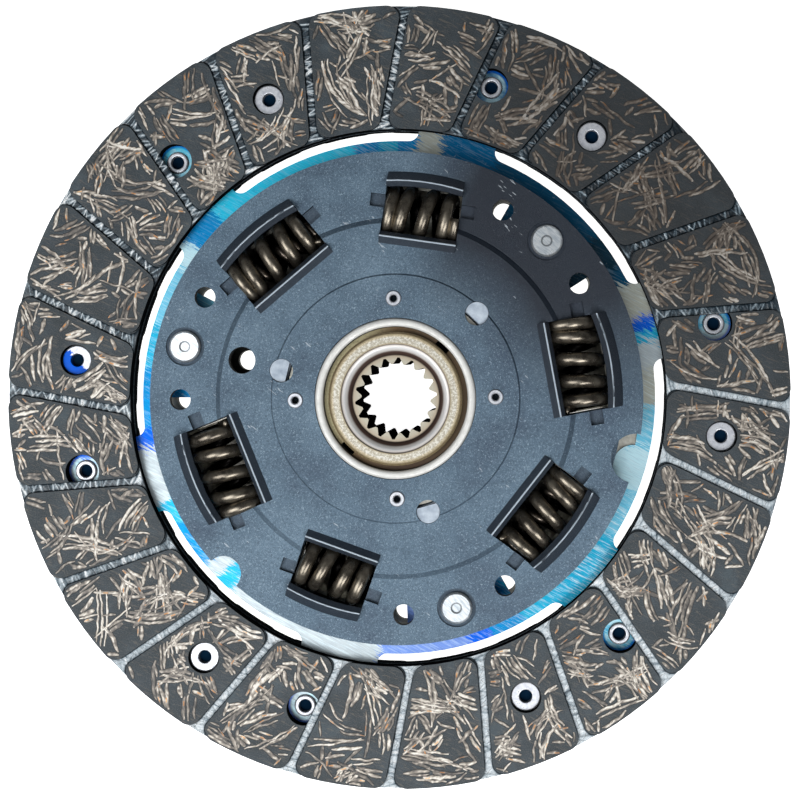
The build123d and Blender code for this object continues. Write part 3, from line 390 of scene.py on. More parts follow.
    def ramp(self, value, stops, interpolation="LINEAR"):
        """Colour and alpha by value: stops are (place, colour)."""
        made = self.node("ShaderNodeValToRGB")
        made.color_ramp.interpolation = interpolation
        marks = made.color_ramp.elements
        while len(marks) < len(stops):
            marks.new(1.0)
        for mark, (place, colour) in zip(marks, stops):
            mark.position = place
            mark.color = colour
        self.link(value, made.inputs[0])
        return made.outputs

    def mix(self, share, first, second):
        """The first colour where the share is 0, and the second where it is 1."""
        made = self.node("ShaderNodeMix", data_type="RGBA")
        self.feed(made.inputs[0], share)
        self.feed(made.inputs[6], first)
        self.feed(made.inputs[7], second)
        return made.outputs[2]

    def tint(self):
        """The piece's own number for each vertex."""
        return self.node("ShaderNodeAttribute", attribute_name="tint").outputs["Fac"]

    def bump(self, height, depth_mm, under=None):
        """Relief of a depth in millimetres, on top of any relief under it."""
        made = self.node("ShaderNodeBump")
        made.inputs["Strength"].default_value = 1.0
        made.inputs["Distance"].default_value = depth_mm * MM
        self.link(height, made.inputs["Height"])
        if under is not None:
            self.link(under, made.inputs["Normal"])
        self.link(made.outputs[0], self.shader.inputs["Normal"])
        return made.outputs[0]

    def colour(self, source):
        """Sets the colour of the surface."""
        self.feed(self.shader.inputs["Base Color"], source)

    def gloss(self, source):
        """Sets the roughness of the surface."""
        self.feed(self.shader.inputs["Roughness"], source)


# ---- materials -------------------------------------------------------------------------------------------
def lining_finish():
    """Dark moulded composite: slate pads, painted shade at the upper right and on its upright walls, and
    dusty resin in the holes.
    """
    f = Finish("friction_lining", roughness=0.6)
    from_middle = f.math("ABSOLUTE", f.math("SUBTRACT", f.z, CARRIER_MID_Z / MM))
    pad_height = (PAD_TOP_Z - CARRIER_MID_Z) / MM
    on_pad = f.spread(from_middle, pad_height - 0.12, pad_height - 0.04)
    grain = f.noise(3.5, 4, 0.7)
    cloud = f.noise(0.12, 4, 0.6)
    pad = f.ramp(cloud, [(0.3, srgb(38, 47, 52)), (0.55, srgb(52, 62, 69)), (0.75, srgb(70, 84, 92))])[0]
    pad = f.mix(f.spread(grain, 0.45, 0.75, 0.0, 0.5), pad, srgb(112, 120, 124))
    fibres = f.noise(1.0, 3, 0.7, f.along(24, (3.2, 0.5, 1.0)), twist=1.2)
    pad = f.mix(f.spread(fibres, 0.56, 0.62, 0.0, 0.5), pad, srgb(112, 106, 98))
    # Painted shade darkens the pads at the upper right.
    pad = f.mix(f.product(f.painted_shade(), 0.65), pad, srgb(22, 24, 26))
    crackle = f.noise(1.1, 5, 0.7, twist=1.5)
    hollow = f.ramp(crackle, [
        (0.35, srgb(20, 28, 34)),
        (0.55, srgb(50, 62, 70)),
        (0.7, srgb(110, 124, 132)),
    ])[0]
    # Upright walls, such as the bores and pad edges, are painted near black as shade.
    on_wall = f.slope(0.9, 0.6)
    hollow = f.mix(on_wall, hollow, srgb(13, 15, 17))
    f.colour(f.mix(on_pad, hollow, pad))
    f.gloss(f.spread(on_pad, 0, 1, 0.4, 0.6))
    f.matt(on_wall)
    f.bump(grain, 0.03, f.bump(crackle, 0.1))
    return f.material


def resin_finish():
    """The crinkled resin skin on the groove floors, from dark teal to pale grey by its tint, which carries a
    painted reflection and painted glints.
    """
    f = Finish("groove_resin", roughness=0.3)
    tone = f.ramp(f.math("ADD", f.tint(), f.spread(f.noise(1.6, 4, 0.7), 0.0, 1.0, -0.18, 0.18)), [
        (0.0, srgb(12, 18, 22)),
        (0.3, srgb(44, 58, 68)),
        (0.55, srgb(132, 148, 158)),
        (0.8, srgb(206, 216, 222)),
        (1.0, srgb(248, 250, 250)),
    ])[0]
    cracks = f.cracks(0.55, f.vector("ADD", f.place, f.noise(1.4, 3, 0.6)))
    f.colour(f.mix(f.spread(cracks, 0.01, 0.045, 0.6, 0.0), tone, srgb(30, 38, 44)))
    f.bump(f.noise(2.5, 3, 0.6), 0.05)
    return f.material


def yarn_finish(name, hues):
    """Chopped yarn, ground flush with the pad: each strand runs from dark to light by its tint, which
    carries painted highlight and shade, and painted shade darkens it at the upper right.
    """
    f = Finish(name, roughness=0.42)
    shade = f.math("ADD", f.tint(), f.spread(f.noise(1.3, 4, 0.7), 0.0, 1.0, -0.25, 0.25))
    hue = f.ramp(shade, [(index / (len(hues) - 1), hue) for index, hue in enumerate(hues)])[0]
    # Painted shade darkens the yarn at the upper right.
    f.colour(f.mix(f.product(f.painted_shade(), 0.62), hue, srgb(52, 38, 26)))
    f.bump(f.noise(6.0, 2), 0.02)
    return f.material


def yarn_shadow_finish():
    """A dark band under each strand, painted as its shadow on the pad."""
    f = Finish("yarn_shadow", roughness=0.6)
    f.colour(f.ramp(f.noise(1.5), [(0.3, srgb(16, 19, 21)), (0.7, srgb(36, 41, 45))])[0])
    return f.material


NAVY = srgb(14, 50, 66)
TEAL = srgb(6, 74, 106)
DEEP = srgb(0, 98, 146)
ROYAL = srgb(0, 92, 214)
BLUE = srgb(0, 134, 196)
CYAN = srgb(30, 168, 206)
AQUA = srgb(44, 198, 232)
SKY = srgb(110, 192, 220)
PALE = srgb(186, 222, 232)
LILAC = srgb(110, 140, 206)
GREY = srgb(176, 186, 190)
SAND = srgb(176, 178, 166)
# Temper colours round the carrier: where each zone starts on the dial, its colour, and how streaky it is.
TEMPER_ZONES = [
    (0, BLUE, 0.4), (4, SAND, 0.4), (9, DEEP, 0.15), (22, TEAL, 0.05), (50, NAVY, 0.05),
    (59, TEAL, 0.2), (63, SAND, 0.4), (71, ROYAL, 0.1), (74, CYAN, 0.4), (76, GREY, 0.4),
    (82, SAND, 0.5), (91, SKY, 0.7), (100, PALE, 0.3), (110, SKY, 0.9), (122, CYAN, 0.9),
    (138, CYAN, 0.6), (150, BLUE, 0.5), (158, ROYAL, 0.3), (163, LILAC, 0.3), (184, GREY, 0.5),
    (220, CYAN, 0.3), (224, GREY, 0.5), (228, BLUE, 0.4), (240, CYAN, 0.3), (245, GREY, 0.5),
    (257.5, ROYAL, 0.1), (262, BLUE, 0.2), (276, CYAN, 0.4), (286, SKY, 0.4), (300, PALE, 0.3),
    (306, BLUE, 0.1), (314, AQUA, 0.2), (350, BLUE, 0.4), (355, CYAN, 0.3),
]


def blued_finish():
    """Spring steel with temper colours round the disc, slanted brush lines, pale rivet seats, painted shadow
    round the facing's hole rims and painted shade on its cut edges.
    """
    f = Finish("blued_steel", metallic=0.85, roughness=0.4)
    brushed = f.noise(1.0, 4, 0.7, f.along(28, (5.0, 0.4, 1.0)))
    wander = f.spread(brushed, 0.0, 1.0, -0.016, 0.016)
    dial = f.math("ADD", f.dial(), wander)
    half = len(TEMPER_ZONES) // 2
    halves = []
    # A colour ramp holds at most 32 stops, so the zones are split between two.
    for zones in (TEMPER_ZONES[:half], TEMPER_ZONES[half:]):
        stops = [(start / 360, (*colour[:3], streak)) for start, colour, streak in zones]
        halves.append(f.ramp(dial, stops, "CONSTANT"))
    later = f.math("GREATER_THAN", dial, TEMPER_ZONES[half][0] / 360)
    temper = f.mix(later, halves[0][0], halves[1][0])
    streaky = f.mix(later, halves[0][1], halves[1][1])
    streak = f.math("MULTIPLY", f.spread(brushed, 0.5, 0.6, 0.0, 0.8), streaky)
    fine = f.noise(1.0, 3, 0.6, f.along(28, (4.0, 0.14, 1.0)))
    tone = f.mix(streak, temper, srgb(214, 232, 238))
    tone = f.mix(f.spread(fine, 0.5, 0.7, 0.0, 0.3), tone, srgb(0, 84, 130))
    tone = f.mix(f.spread(f.noise(0.9, 5, 0.75), 0.62, 0.7, 0.0, 0.4), tone, srgb(196, 208, 212))
    from_tail = f.from_row(RIVET_CIRCLE_R, TAIL_RIVET_DIAL, RIVET_COUNT)
    under_pads = f.spread(f.radius(), UNDER_PADS_R_MM, UNDER_PADS_R_MM + 1.0)
    patchy = f.spread(f.noise(0.3, 3), 0.4, 0.6, 0.15, 0.85)
    tone = f.mix(f.product(f.spread(from_tail, 4.0, 3.6), patchy), tone, PALE)
    # A royal-blue ring of painted shadow where the facing's hole rim shades the carrier.
    tone = f.mix(f.product(f.spread(from_tail, 3.7, 4.2), under_pads, 0.7), tone, ROYAL)
    # Steep cut edges are painted dark as shade.
    steep = f.slope(0.8, 0.3)
    f.colour(f.mix(steep, tone, srgb(20, 26, 32)))
    f.gloss(f.spread(fine, 0.3, 0.7, 0.34, 0.55))
    f.matt(steep)
    f.bump(fine, 0.01)
    return f.material


def phosphate_finish():
    """Dark phosphate on pressed steel: sandy grain, pale rubs and scuffs, painted shade at the upper right
    and on the slopes, lips, pockets and edges, and a painted highlight along the lip crests.
    """
    f = Finish("phosphated_steel", metallic=0.3, roughness=0.45)
    cloud = f.noise(0.05, 5, 0.65)
    grain = f.noise(2.2, 6, 0.85, twist=1.0)
    base = f.ramp(cloud, [
        (0.32, srgb(68, 87, 107)),
        (0.5, srgb(90, 113, 132)),
        (0.7, srgb(111, 135, 154)),
    ])[0]
    base = f.mix(f.spread(grain, 0.55, 0.62, 0.0, 0.7), base, srgb(180, 202, 216))
    base = f.mix(f.spread(grain, 0.46, 0.38, 0.0, 0.7), base, srgb(30, 40, 54))
    # Painted shade darkens the plate's outer part at the upper right.
    sector_shade = f.product(f.painted_shade(), f.spread(f.radius(), SHADE_STARTS_R_MM, SHADE_FULL_R_MM))
    sector_shade = f.math("ADD", sector_shade, f.spread(cloud, 0.3, 0.7, -0.1, 0.1))
    base = f.mix(f.spread(sector_shade, 0.15, 0.95, 0.0, 0.93), base, srgb(30, 35, 46))
    rubbed = f.spread(f.noise(0.3, 6, 0.85, twist=2.5), 0.64, 0.72, 0.0, 0.45)
    base = f.mix(rubbed, base, srgb(176, 190, 200))
    scuffs = f.product(f.noise(0.9, 2, 0.5, f.along(40, (2.2, 0.5, 1.0))), f.noise(0.12, 2, 0.5))
    base = f.mix(f.spread(scuffs, 0.44, 0.47, 0.0, 0.6), base, srgb(206, 216, 224))
    # Slopes get a little painted shade.
    base = f.mix(f.spread(f.slope(0.97, 0.8), 0, 1, 0.0, 0.3), base, srgb(44, 54, 68))
    above_rim = f.math("GREATER_THAN", f.z, RIM_TOP_MM + ABOVE_FACE_MM)
    above_zone = f.math("GREATER_THAN", f.z, ZONE_TOP_MM + ABOVE_FACE_MM)
    outer_lip = f.product(f.math("GREATER_THAN", f.radius(), LIP_FOOT_R_MM), above_rim)
    inner_lip = f.product(f.math("GREATER_THAN", f.radius(), INNER_LIP_R_MM), above_zone)
    lip = f.math("MAXIMUM", outer_lip, inner_lip)
    sunk = f.product(f.math("GREATER_THAN", f.z, POCKET_FLOOR_MM), f.math("LESS_THAN", f.z, POCKET_MOUTH_MM))
    # Painted shade on the lips and in the pockets.
    base = f.mix(f.spread(lip, 0, 1, 0.0, 0.85), base, srgb(36, 43, 54))
    base = f.mix(f.spread(sunk, 0, 1, 0.0, 0.6), base, srgb(52, 62, 76))
    # A painted highlight along the crests of the lips.
    crest = f.spread(f.z, COVER_CREST_Z / MM - 0.1, COVER_CREST_Z / MM - 0.03)
    base = f.mix(crest, base, srgb(186, 200, 212))
    # Upright walls are painted near black as shade, less so at the step.
    wall = f.wall()
    shallow = f.math("LESS_THAN", f.math("ABSOLUTE", f.math("SUBTRACT", f.radius(), STEP_R_MM)), 1.0)
    f.colour(f.mix(f.product(wall, f.spread(shallow, 0, 1, 1.0, 0.4)), base, srgb(12, 15, 19)))
    f.gloss(f.spread(cloud, 0.3, 0.7, 0.38, 0.52))
    f.matt(wall)
    f.bump(grain, 0.14)
    return f.material


def bush_finish():
    """A pale metal bush with cloudy wear, and painted shade on its cut edges."""
    f = Finish("bush_steel", metallic=0.25, roughness=0.5)
    wear = f.noise(0.5, 5, 0.65)
    wall = f.wall()
    pale = f.ramp(wear, [(0.3, srgb(222, 222, 218)), (0.7, srgb(240, 240, 236))])[0]
    # Upright cut edges are painted dark as shade.
    f.colour(f.mix(f.product(wall, 0.85), pale, srgb(24, 24, 26)))
    f.matt(wall)
    f.gloss(f.spread(wear, 0.3, 0.7, 0.625, 0.4))
    f.bump(f.noise(3.0, 3, 0.6), 0.01)
    return f.material


def pin_finish():
    """Bright plated heads of the stop pins, each with a small dark ring round its dimple."""
    f = Finish("pin_steel", metallic=0.9, roughness=0.3)
    middle = f.from_row(PIN_CIRCLE_R, PIN_DIAL, PIN_COUNT)
    brushed = f.noise(1.0, 3, 0.6, f.along(40, (3.0, 0.5, 1.0)))
    base = f.ramp(brushed, [(0.35, srgb(186, 196, 204)), (0.65, srgb(244, 248, 250))])[0]
    ring = f.product(f.spread(middle, 0.95, 1.15), f.spread(middle, 1.55, 1.35))
    base = f.mix(f.product(ring, 0.75), base, srgb(70, 76, 82))
    base = f.mix(f.spread(middle, 3.6, 4.0, 0.0, 0.5), base, srgb(110, 118, 126))
    # Upright sides are painted dark as shade.
    wall = f.wall()
    f.colour(f.mix(wall, base, srgb(18, 20, 24)))
    f.matt(wall)
    f.gloss(f.spread(brushed, 0.3, 0.7, 0.38, 0.26))
    f.bump(brushed, 0.01)
    return f.material


def rear_plate_finish():
    """Bright sheet, with painted shade round the rim of the tool hole that shows through the front plate,
    and on its cut edges.
    """
    f = Finish("bright_steel", metallic=0.95, roughness=0.36)
    wear = f.noise(0.5, 5, 0.65)
    # Painted shade round the tool hole, seen through the front plate, and on upright edges.
    hole_shade = f.spread(f.from_row(TOOL_CIRCLE_R, TOOL_DIAL, 1), TOOL_SHADE_R_MM, TOOL_SHADE_R_MM - 0.4)
    tone = f.ramp(wear, [(0.3, srgb(150, 148, 138)), (0.7, srgb(214, 212, 202))])[0]
    wall = f.wall()
    dark = f.math("MAXIMUM", hole_shade, wall)
    f.colour(f.mix(f.product(dark, 0.92), tone, srgb(16, 18, 20)))
    f.feed(f.shader.inputs["Metallic"], f.spread(dark, 0.0, 1.0, 0.95, 0.2))
    f.matt(dark)
    f.gloss(f.spread(wear, 0.3, 0.7, 0.45, 0.29))
    f.bump(f.noise(3.0, 3, 0.6), 0.01)
    return f.material


# The hub's end face, down to the foot of its mouth: each ring's colour by millimetres from the axis. The
# dark rings are painted shade on the cone and edges, and the white ring is a painted highlight on the
# polished mouth.
HUB_FACE_Z_MM = HUB_TOP_Z / MM - 2.45
HUB_BORE_R_MM = 10.9
HUB_RIM_R_MM = 14.0
HUB_FACE_ZONES = [
    (0.0, srgb(176, 172, 156)),
    (9.6, srgb(196, 190, 172)),
    (10.7, srgb(184, 170, 148)),
    (11.1, srgb(48, 34, 30)),
    (11.9, srgb(84, 64, 56)),
    (12.3, srgb(220, 216, 212)),
    (12.9, srgb(255, 255, 255)),
    (13.4, srgb(226, 220, 214)),
    (13.75, srgb(60, 44, 34)),
    (13.95, srgb(190, 176, 146)),
    (14.3, srgb(232, 228, 214)),
    (15.4, srgb(236, 234, 226)),
    (15.9, srgb(222, 208, 176)),
    (16.4, srgb(120, 104, 78)),
]


def hub_finish():
    """A turned steel hub: pale end face, polished mouth with a painted highlight, a cone darkened by painted
    shade, pale tooth ends and painted shade down the bore.
    """
    f = Finish("passivated_steel", metallic=0.2, roughness=0.36)
    radius = f.radius()
    steel = f.ramp(f.noise(0.6, 4, 0.6), [(0.3, srgb(110, 100, 84)), (0.7, srgb(176, 168, 150))])[0]
    outermost = HUB_FRONT_R / MM
    face = f.ramp(f.math("DIVIDE", radius, outermost), [(r / outermost, c) for r, c in HUB_FACE_ZONES])[0]
    mottle = f.noise(1.6, 5, 0.75)
    on_rim = f.math("GREATER_THAN", radius, HUB_RIM_R_MM)
    rough_ring = f.product(on_rim, f.spread(mottle, 0.47, 0.55, 0.6, 0.0))
    face = f.mix(rough_ring, face, srgb(150, 134, 98))
    on_face = f.spread(f.z, HUB_FACE_Z_MM - 0.15, HUB_FACE_Z_MM)
    # The bore below the face is painted near black as shade.
    bore_shade = f.product(f.math("LESS_THAN", radius, HUB_BORE_R_MM), f.math("LESS_THAN", f.z, HUB_FACE_Z_MM))
    outside = f.mix(bore_shade, steel, srgb(14, 13, 14))
    f.colour(f.mix(on_face, outside, face))
    f.feed(f.shader.inputs["Metallic"], f.spread(bore_shade, 0, 1, 0.2, 0.0))
    f.matt(bore_shade)
    turned = f.math("SINE", f.math("MULTIPLY", radius, 26.0))
    f.bump(turned, 0.003, f.bump(mottle, 0.04))
    return f.material


def sleeve_finish():
    """A gilt sleeve, painted pale on its lit side and brown as shade on the other, and black as shade down
    its slots.
    """
    f = Finish("sleeve_brass", metallic=0.3, roughness=0.45)
    # Painted light and shade by dial: pale towards the light, brown on the shaded side.
    pale = srgb(196, 186, 146)
    shaded_brown = srgb(104, 84, 60)
    side = f.ramp(f.dial(), [
        (0.0, srgb(128, 100, 66)),
        (0.06, shaded_brown),
        (0.3, shaded_brown),
        (0.5, srgb(78, 56, 40)),
        (0.6, srgb(120, 96, 64)),
        (0.68, pale),
        (0.92, pale),
        (1.0, srgb(128, 100, 66)),
    ])[0]
    side = f.mix(f.spread(f.noise(1.5, 4, 0.7), 0.5, 0.7, 0.0, 0.5), side, srgb(90, 76, 52))
    # Painted black shade down the slots.
    deep = f.spread(f.z, SLEEVE_TOP_Z / MM - 0.1, SLEEVE_TOP_Z / MM - 0.6)
    f.colour(f.mix(deep, side, srgb(8, 7, 7)))
    f.matt(deep)
    f.bump(f.noise(3.0, 3, 0.6), 0.01)
    return f.material


def moulded_finish(name, dark, light):
    """Moulded plastic with a faint grain."""
    f = Finish(name)
    f.colour(f.ramp(f.noise(0.4, 4, 0.6), [(0.3, dark), (0.7, light)])[0])
    f.bump(f.noise(4.0, 3, 0.6), 0.02)
    return f.material


def spring_finish(name, dark, light):
    """Oiled spring wire with patchy wear, painted black below as shade, where the windows shade it."""
    f = Finish(name, metallic=0.9, roughness=0.25)
    wear = f.noise(0.35, 4, 0.6)
    wire = f.ramp(wear, [(0.35, dark), (0.65, light)])[0]
    # Painted shade turns the lower part of each coil black.
    low = f.spread(f.z, SPRING_Z / MM + 4.9, SPRING_Z / MM + 1.9)
    f.colour(f.mix(low, wire, srgb(12, 10, 9)))
    f.gloss(f.spread(wear, 0.3, 0.7, 0.22, 0.34))
    f.bump(f.noise(4.0, 3, 0.6), 0.006)
    return f.material


def rivet_finish():
    """Bright plated rivets, with painted shade down their bores and on their steep sides, one of them half
    covered by a blue paint mark.
    """
    f = Finish("rivet_steel", metallic=0.9, roughness=0.28)
    wear = f.noise(0.9, 5, 0.65)
    base = f.ramp(wear, [(0.3, srgb(186, 190, 200)), (0.7, srgb(238, 240, 244))])[0]
    heads = f.from_row(RIVET_CIRCLE_R, HEAD_RIVET_DIAL, RIVET_COUNT)
    tails = f.from_row(RIVET_CIRCLE_R, TAIL_RIVET_DIAL, RIVET_COUNT)
    middle = f.math("MINIMUM", heads, tails)
    mark_x, mark_y = on_dial(RIVET_CIRCLE_R / MM, PAINTED_RIVET_DIAL)
    lean = f.math("ADD", f.math("ADD", f.x, f.y), -mark_x - mark_y)
    wavy = f.math("ADD", lean, f.spread(f.noise(0.8, 3), 0.0, 1.0, -3.0, 3.0))
    near_x = f.math("LESS_THAN", f.math("ABSOLUTE", f.math("SUBTRACT", f.x, mark_x)), PAINT_HALF_MM)
    near_y = f.math("LESS_THAN", f.math("ABSOLUTE", f.math("SUBTRACT", f.y, mark_y)), PAINT_HALF_MM)
    painted = f.product(near_x, near_y, f.spread(wavy, 0.3, -0.3))
    base = f.mix(painted, base, srgb(0, 100, 232))
    # Painted shade down the bores and on the steep sides.
    bore_shade = f.spread(middle, 1.72, 1.6)
    steep = f.slope(0.75, 0.4)
    dark = f.math("MAXIMUM", bore_shade, f.product(steep, 0.8))
    f.colour(f.mix(dark, base, srgb(12, 34, 54)))
    f.feed(f.shader.inputs["Metallic"], f.spread(f.math("MAXIMUM", painted, dark), 0, 1, 0.6, 0.0))
    f.matt(f.math("MAXIMUM", bore_shade, f.product(painted, 0.8)))
    f.gloss(f.spread(wear, 0.3, 0.7, 0.42, 0.24))
    f.bump(f.noise(5.0, 3, 0.6), 0.015)
    return f.material


lining = lining_finish()
resin = resin_finish()
yarn = yarn_finish("glass_yarn", [
    srgb(64, 62, 60),
    srgb(92, 88, 84),
    srgb(120, 113, 105),
    srgb(156, 147, 136),
    srgb(214, 205, 192),
    srgb(250, 246, 238),
])
copper_yarn = yarn_finish("copper_yarn", [
    srgb(128, 84, 50),
    srgb(176, 118, 66),
    srgb(222, 158, 92),
    srgb(246, 204, 150),
])
yarn_shadow = yarn_shadow_finish()
blued = blued_finish()
phosphated = phosphate_finish()
rivet_steel = rivet_finish()
spring_steel = spring_finish("spring_steel", srgb(90, 84, 76), srgb(148, 140, 126))
inner_steel = spring_finish("inner_spring_steel", srgb(120, 108, 96), srgb(190, 178, 164))
bright = rear_plate_finish()
bush_metal = bush_finish()
gilt = sleeve_finish()
pin_metal = pin_finish()
hub_metal = hub_finish()
grey_plastic = moulded_finish("washer_plastic", srgb(150, 166, 184), srgb(206, 218, 230))
dark_plastic = moulded_finish("predamper_plastic", srgb(34, 34, 36), srgb(56, 56, 58))

NODE_MATERIALS = {
    "front_facing": lining,
    "rear_facing": lining,
    "front_facing_rivets": rivet_steel,
    "rear_facing_rivets": rivet_steel,
    "carrier_disc": blued,
    "front_cover_plate": phosphated,
    "rear_cover_plate": bright,
    "stop_pins": pin_metal,
    "hub": hub_metal,
    "hub_sleeve": gilt,
    "front_bush": bush_metal,
    "bush_retainer": bright,
    "tubular_rivets": rivet_steel,
    "front_friction_washer": grey_plastic,
    "rear_bush": grey_plastic,
    "diaphragm_spring": bright,
    "rear_friction_washer": grey_plastic,
    "hub_flange": phosphated,
    "predamper_housing": dark_plastic,
    "predamper_cover": dark_plastic,
    "predamper_hub_plate": bright,
}
# The nodes that the table leaves out are the springs.
for name, node in nodes.items():
    node.data.materials.clear()
    node.data.materials.append(NODE_MATERIALS.get(name, spring_steel))


# ---- facing yarn -----------------------------------------------------------------------------------------
def groove_side(points, index):
    """How far points lie to the clockwise side of a groove's middle line."""
    angle = math.radians(GROOVE_DIAL + index * 360 / GROOVE_COUNT)
    return points[:, 0] * math.cos(angle) - points[:, 1] * math.sin(angle) + GROOVE_OFFSET


def on_pad(points, index, margin):
    """Which points lie on a pad, at least a margin inside its edge and clear of its rivet holes."""
    half = GROOVE_WIDTH / 2 + margin
    left = groove_side(points, index) - half
    right = -groove_side(points, index + 1) - half
    radius = np.hypot(points[:, 0], points[:, 1])
    inner = radius - FACING_INNER_R - margin
    outer = FACING_OUTER_R - margin - radius
    side = np.minimum(left, right)
    end = np.minimum(inner, outer)
    round_r = PAD_CORNER - margin
    corner = (side < round_r) & (end < round_r) & (np.hypot(round_r - side, round_r - end) > round_r)
    good = (side > 0) & (end > 0) & ~corner
    for first, hole_r in ((HEAD_RIVET_DIAL, HEAD_SEAT_R), (TAIL_RIVET_DIAL, TAIL_HOLE_R)):
        for turn in range(RIVET_COUNT):
            x, y = on_dial(RIVET_CIRCLE_R, first + turn * RIVET_STEP)
            good &= np.hypot(points[:, 0] - x, points[:, 1] - y) > hole_r + margin
    return good


def wavy_line(rng, start, heading, bend, length):
    """Points along an arc that wavers a little from side to side. bend is its turn in radians per metre."""
    count = max(STRAND_FEWEST_POINTS, int(length / YARN_STEP) + 1)
    way = np.linspace(0, length, count)
    waver = rng.uniform(0.05, 0.25) * np.sin(way / (rng.uniform(0.5, 1.0) * MM) + rng.uniform(0, math.tau))
    angle = heading + bend * (way - length / 2) + waver
    points = np.cumsum(np.c_[np.cos(angle), np.sin(angle)] * (length / (count - 1)), axis=0)
    return points - points[count // 2] + start


def strand(rng, points, half_width, store, shade):
    """Adds a domed strand with tapered ends, a painted highlight along its middle and painted shade on its
    flanks, maybe a copper fleck, and a dark band of painted shadow under it.
    """
    count = len(points)
    tangent = np.gradient(points, axis=0)
    tangent /= np.linalg.norm(tangent, axis=1)[:, None] + 1e-12
    normal = np.c_[-tangent[:, 1], tangent[:, 0]]
    share = np.linspace(0, 1, count)
    taper = np.clip(np.sin(np.pi * (share * 0.9 + 0.05)), 0, 1) ** 0.35
    width = half_width * taper * (1 + rng.normal(0, 0.1, count))
    lift = rng.uniform(*STRAND_LIFT_MM) * MM
    ripple = 0.14 * np.sin(share * rng.uniform(6, 22) + rng.uniform(0, math.tau))
    fleck = int(rng.integers(0, count)) if rng.uniform() < STRANDS_WITH_FLECK else count
    shift = rng.uniform(-0.4, 0.4)
    # Each layer: where its lines lie across the strand, how much wider it is, its dome and its material.
    layers = [
        # The first layer is the strand's painted shadow.
        ((-1, 1), YARN_SHADOW_REACH, 0.0, YARN_SHADOW_SLOT),
        ((-1, shift - 0.3, shift + 0.3, 1), 0.0, YARN_DOME, 0),
    ]
    for places, wide, dome, slot in layers:
        first = len(store["vertices"])
        for place in places:
            row = points + (place * (width + wide))[:, None] * normal
            height = PAD_TOP_Z + lift * (slot == 0) + YARN_LIFT + dome * taper * (1 - abs(place))
            store["vertices"].extend(np.c_[row, np.broadcast_to(height, count)].tolist())
            # Painted highlight along the middle, painted shade on the flanks.
            streak = CREST_HIGHLIGHT if abs(place) < 0.8 else -FLANK_SHADE
            light = shade + ripple + streak + rng.normal(0, 0.15, count)
            store["tints"].extend(np.clip(light, 0, 1).tolist())
        for line in range(len(places) - 1):
            low = first + line * count
            for i in range(count - 1):
                gleam = slot == 0 and line == 1 and i in (fleck, fleck + 1)
                store["faces"].append((low + i, low + i + 1, low + count + i + 1, low + count + i))
                store["materials"].append(YARN_COPPER_SLOT if gleam else slot)


def longest_run(flags):
    """The longest unbroken run of true flags, as a slice."""
    best, start = (0, 0), None
    for i, flag in enumerate([*flags, False]):
        if flag and start is None:
            start = i
        if not flag and start is not None:
            if i - start > best[1] - best[0]:
                best = (start, i)
            start = None
    return slice(*best)


def pad_yarn(rng, index, store):
    """Bundles of chopped yarn on one pad, each a few strands side by side, where no earlier bundle lies."""
    middle = GROOVE_DIAL + (index + 0.5) * 360 / GROOVE_COUNT - GROOVE_LAG
    taken = set()
    for _ in range(YARN_TRIES):
        radius = rng.uniform(FACING_INNER_R, FACING_OUTER_R)
        centre = np.array(on_dial(radius, middle + rng.uniform(-BUNDLE_DIALS, BUNDLE_DIALS)))
        heading = rng.uniform(0, math.tau)
        bend = rng.choice((-1, 1)) * rng.uniform(*BUNDLE_BEND)
        length = rng.uniform(*BUNDLE_LENGTH_MM) * MM
        along = np.array((math.cos(heading), math.sin(heading)))
        across = np.array((-along[1], along[0]))
        shade = rng.uniform(*BUNDLE_SHADE)
        strands = int(rng.integers(*BUNDLE_STRANDS))
        gap = rng.uniform(*BUNDLE_GAP_MM) * MM
        over = rng.uniform() < BUNDLES_CROSSING
        covered = set()
        for order in range(strands):
            half_width = rng.uniform(*STRAND_HALF_WIDTH_MM) * MM
            slip = along * rng.uniform(-STRAND_SLIP_MM, STRAND_SLIP_MM) * MM
            start = centre + across * (order - strands / 2) * gap + slip
            line_heading = heading + rng.normal(0, 0.08)
            line = wavy_line(rng, start, line_heading, bend, length * rng.uniform(*STRAND_LENGTH))
            cells = [tuple(cell) for cell in np.floor(line / YARN_CELL).astype(int)]
            free = np.array([over or cell not in taken for cell in cells])
            free &= on_pad(line, index, half_width + YARN_CLEAR)
            run = longest_run(free)
            if run.stop - run.start < STRAND_FEWEST_POINTS:
                continue
            strand(rng, line[run], half_width, store, shade + rng.normal(0, 0.1))
            covered.update(cells[run])
        taken |= covered


def build_yarn():
    """The yarn on all pads of the front facing, and its twin behind."""
    rng = np.random.default_rng(SEED)
    store = {"vertices": [], "faces": [], "materials": [], "tints": []}
    for index in range(GROOVE_COUNT):
        pad_yarn(rng, index, store)
    front = add_piece("front_facing_yarn", store["vertices"], store["faces"], "disc_body",
                      [yarn, yarn_shadow, copper_yarn], store["tints"])
    front.data.polygons.foreach_set("material_index", store["materials"])
    add_rear_twin(front, "rear_facing_yarn", "disc_body")


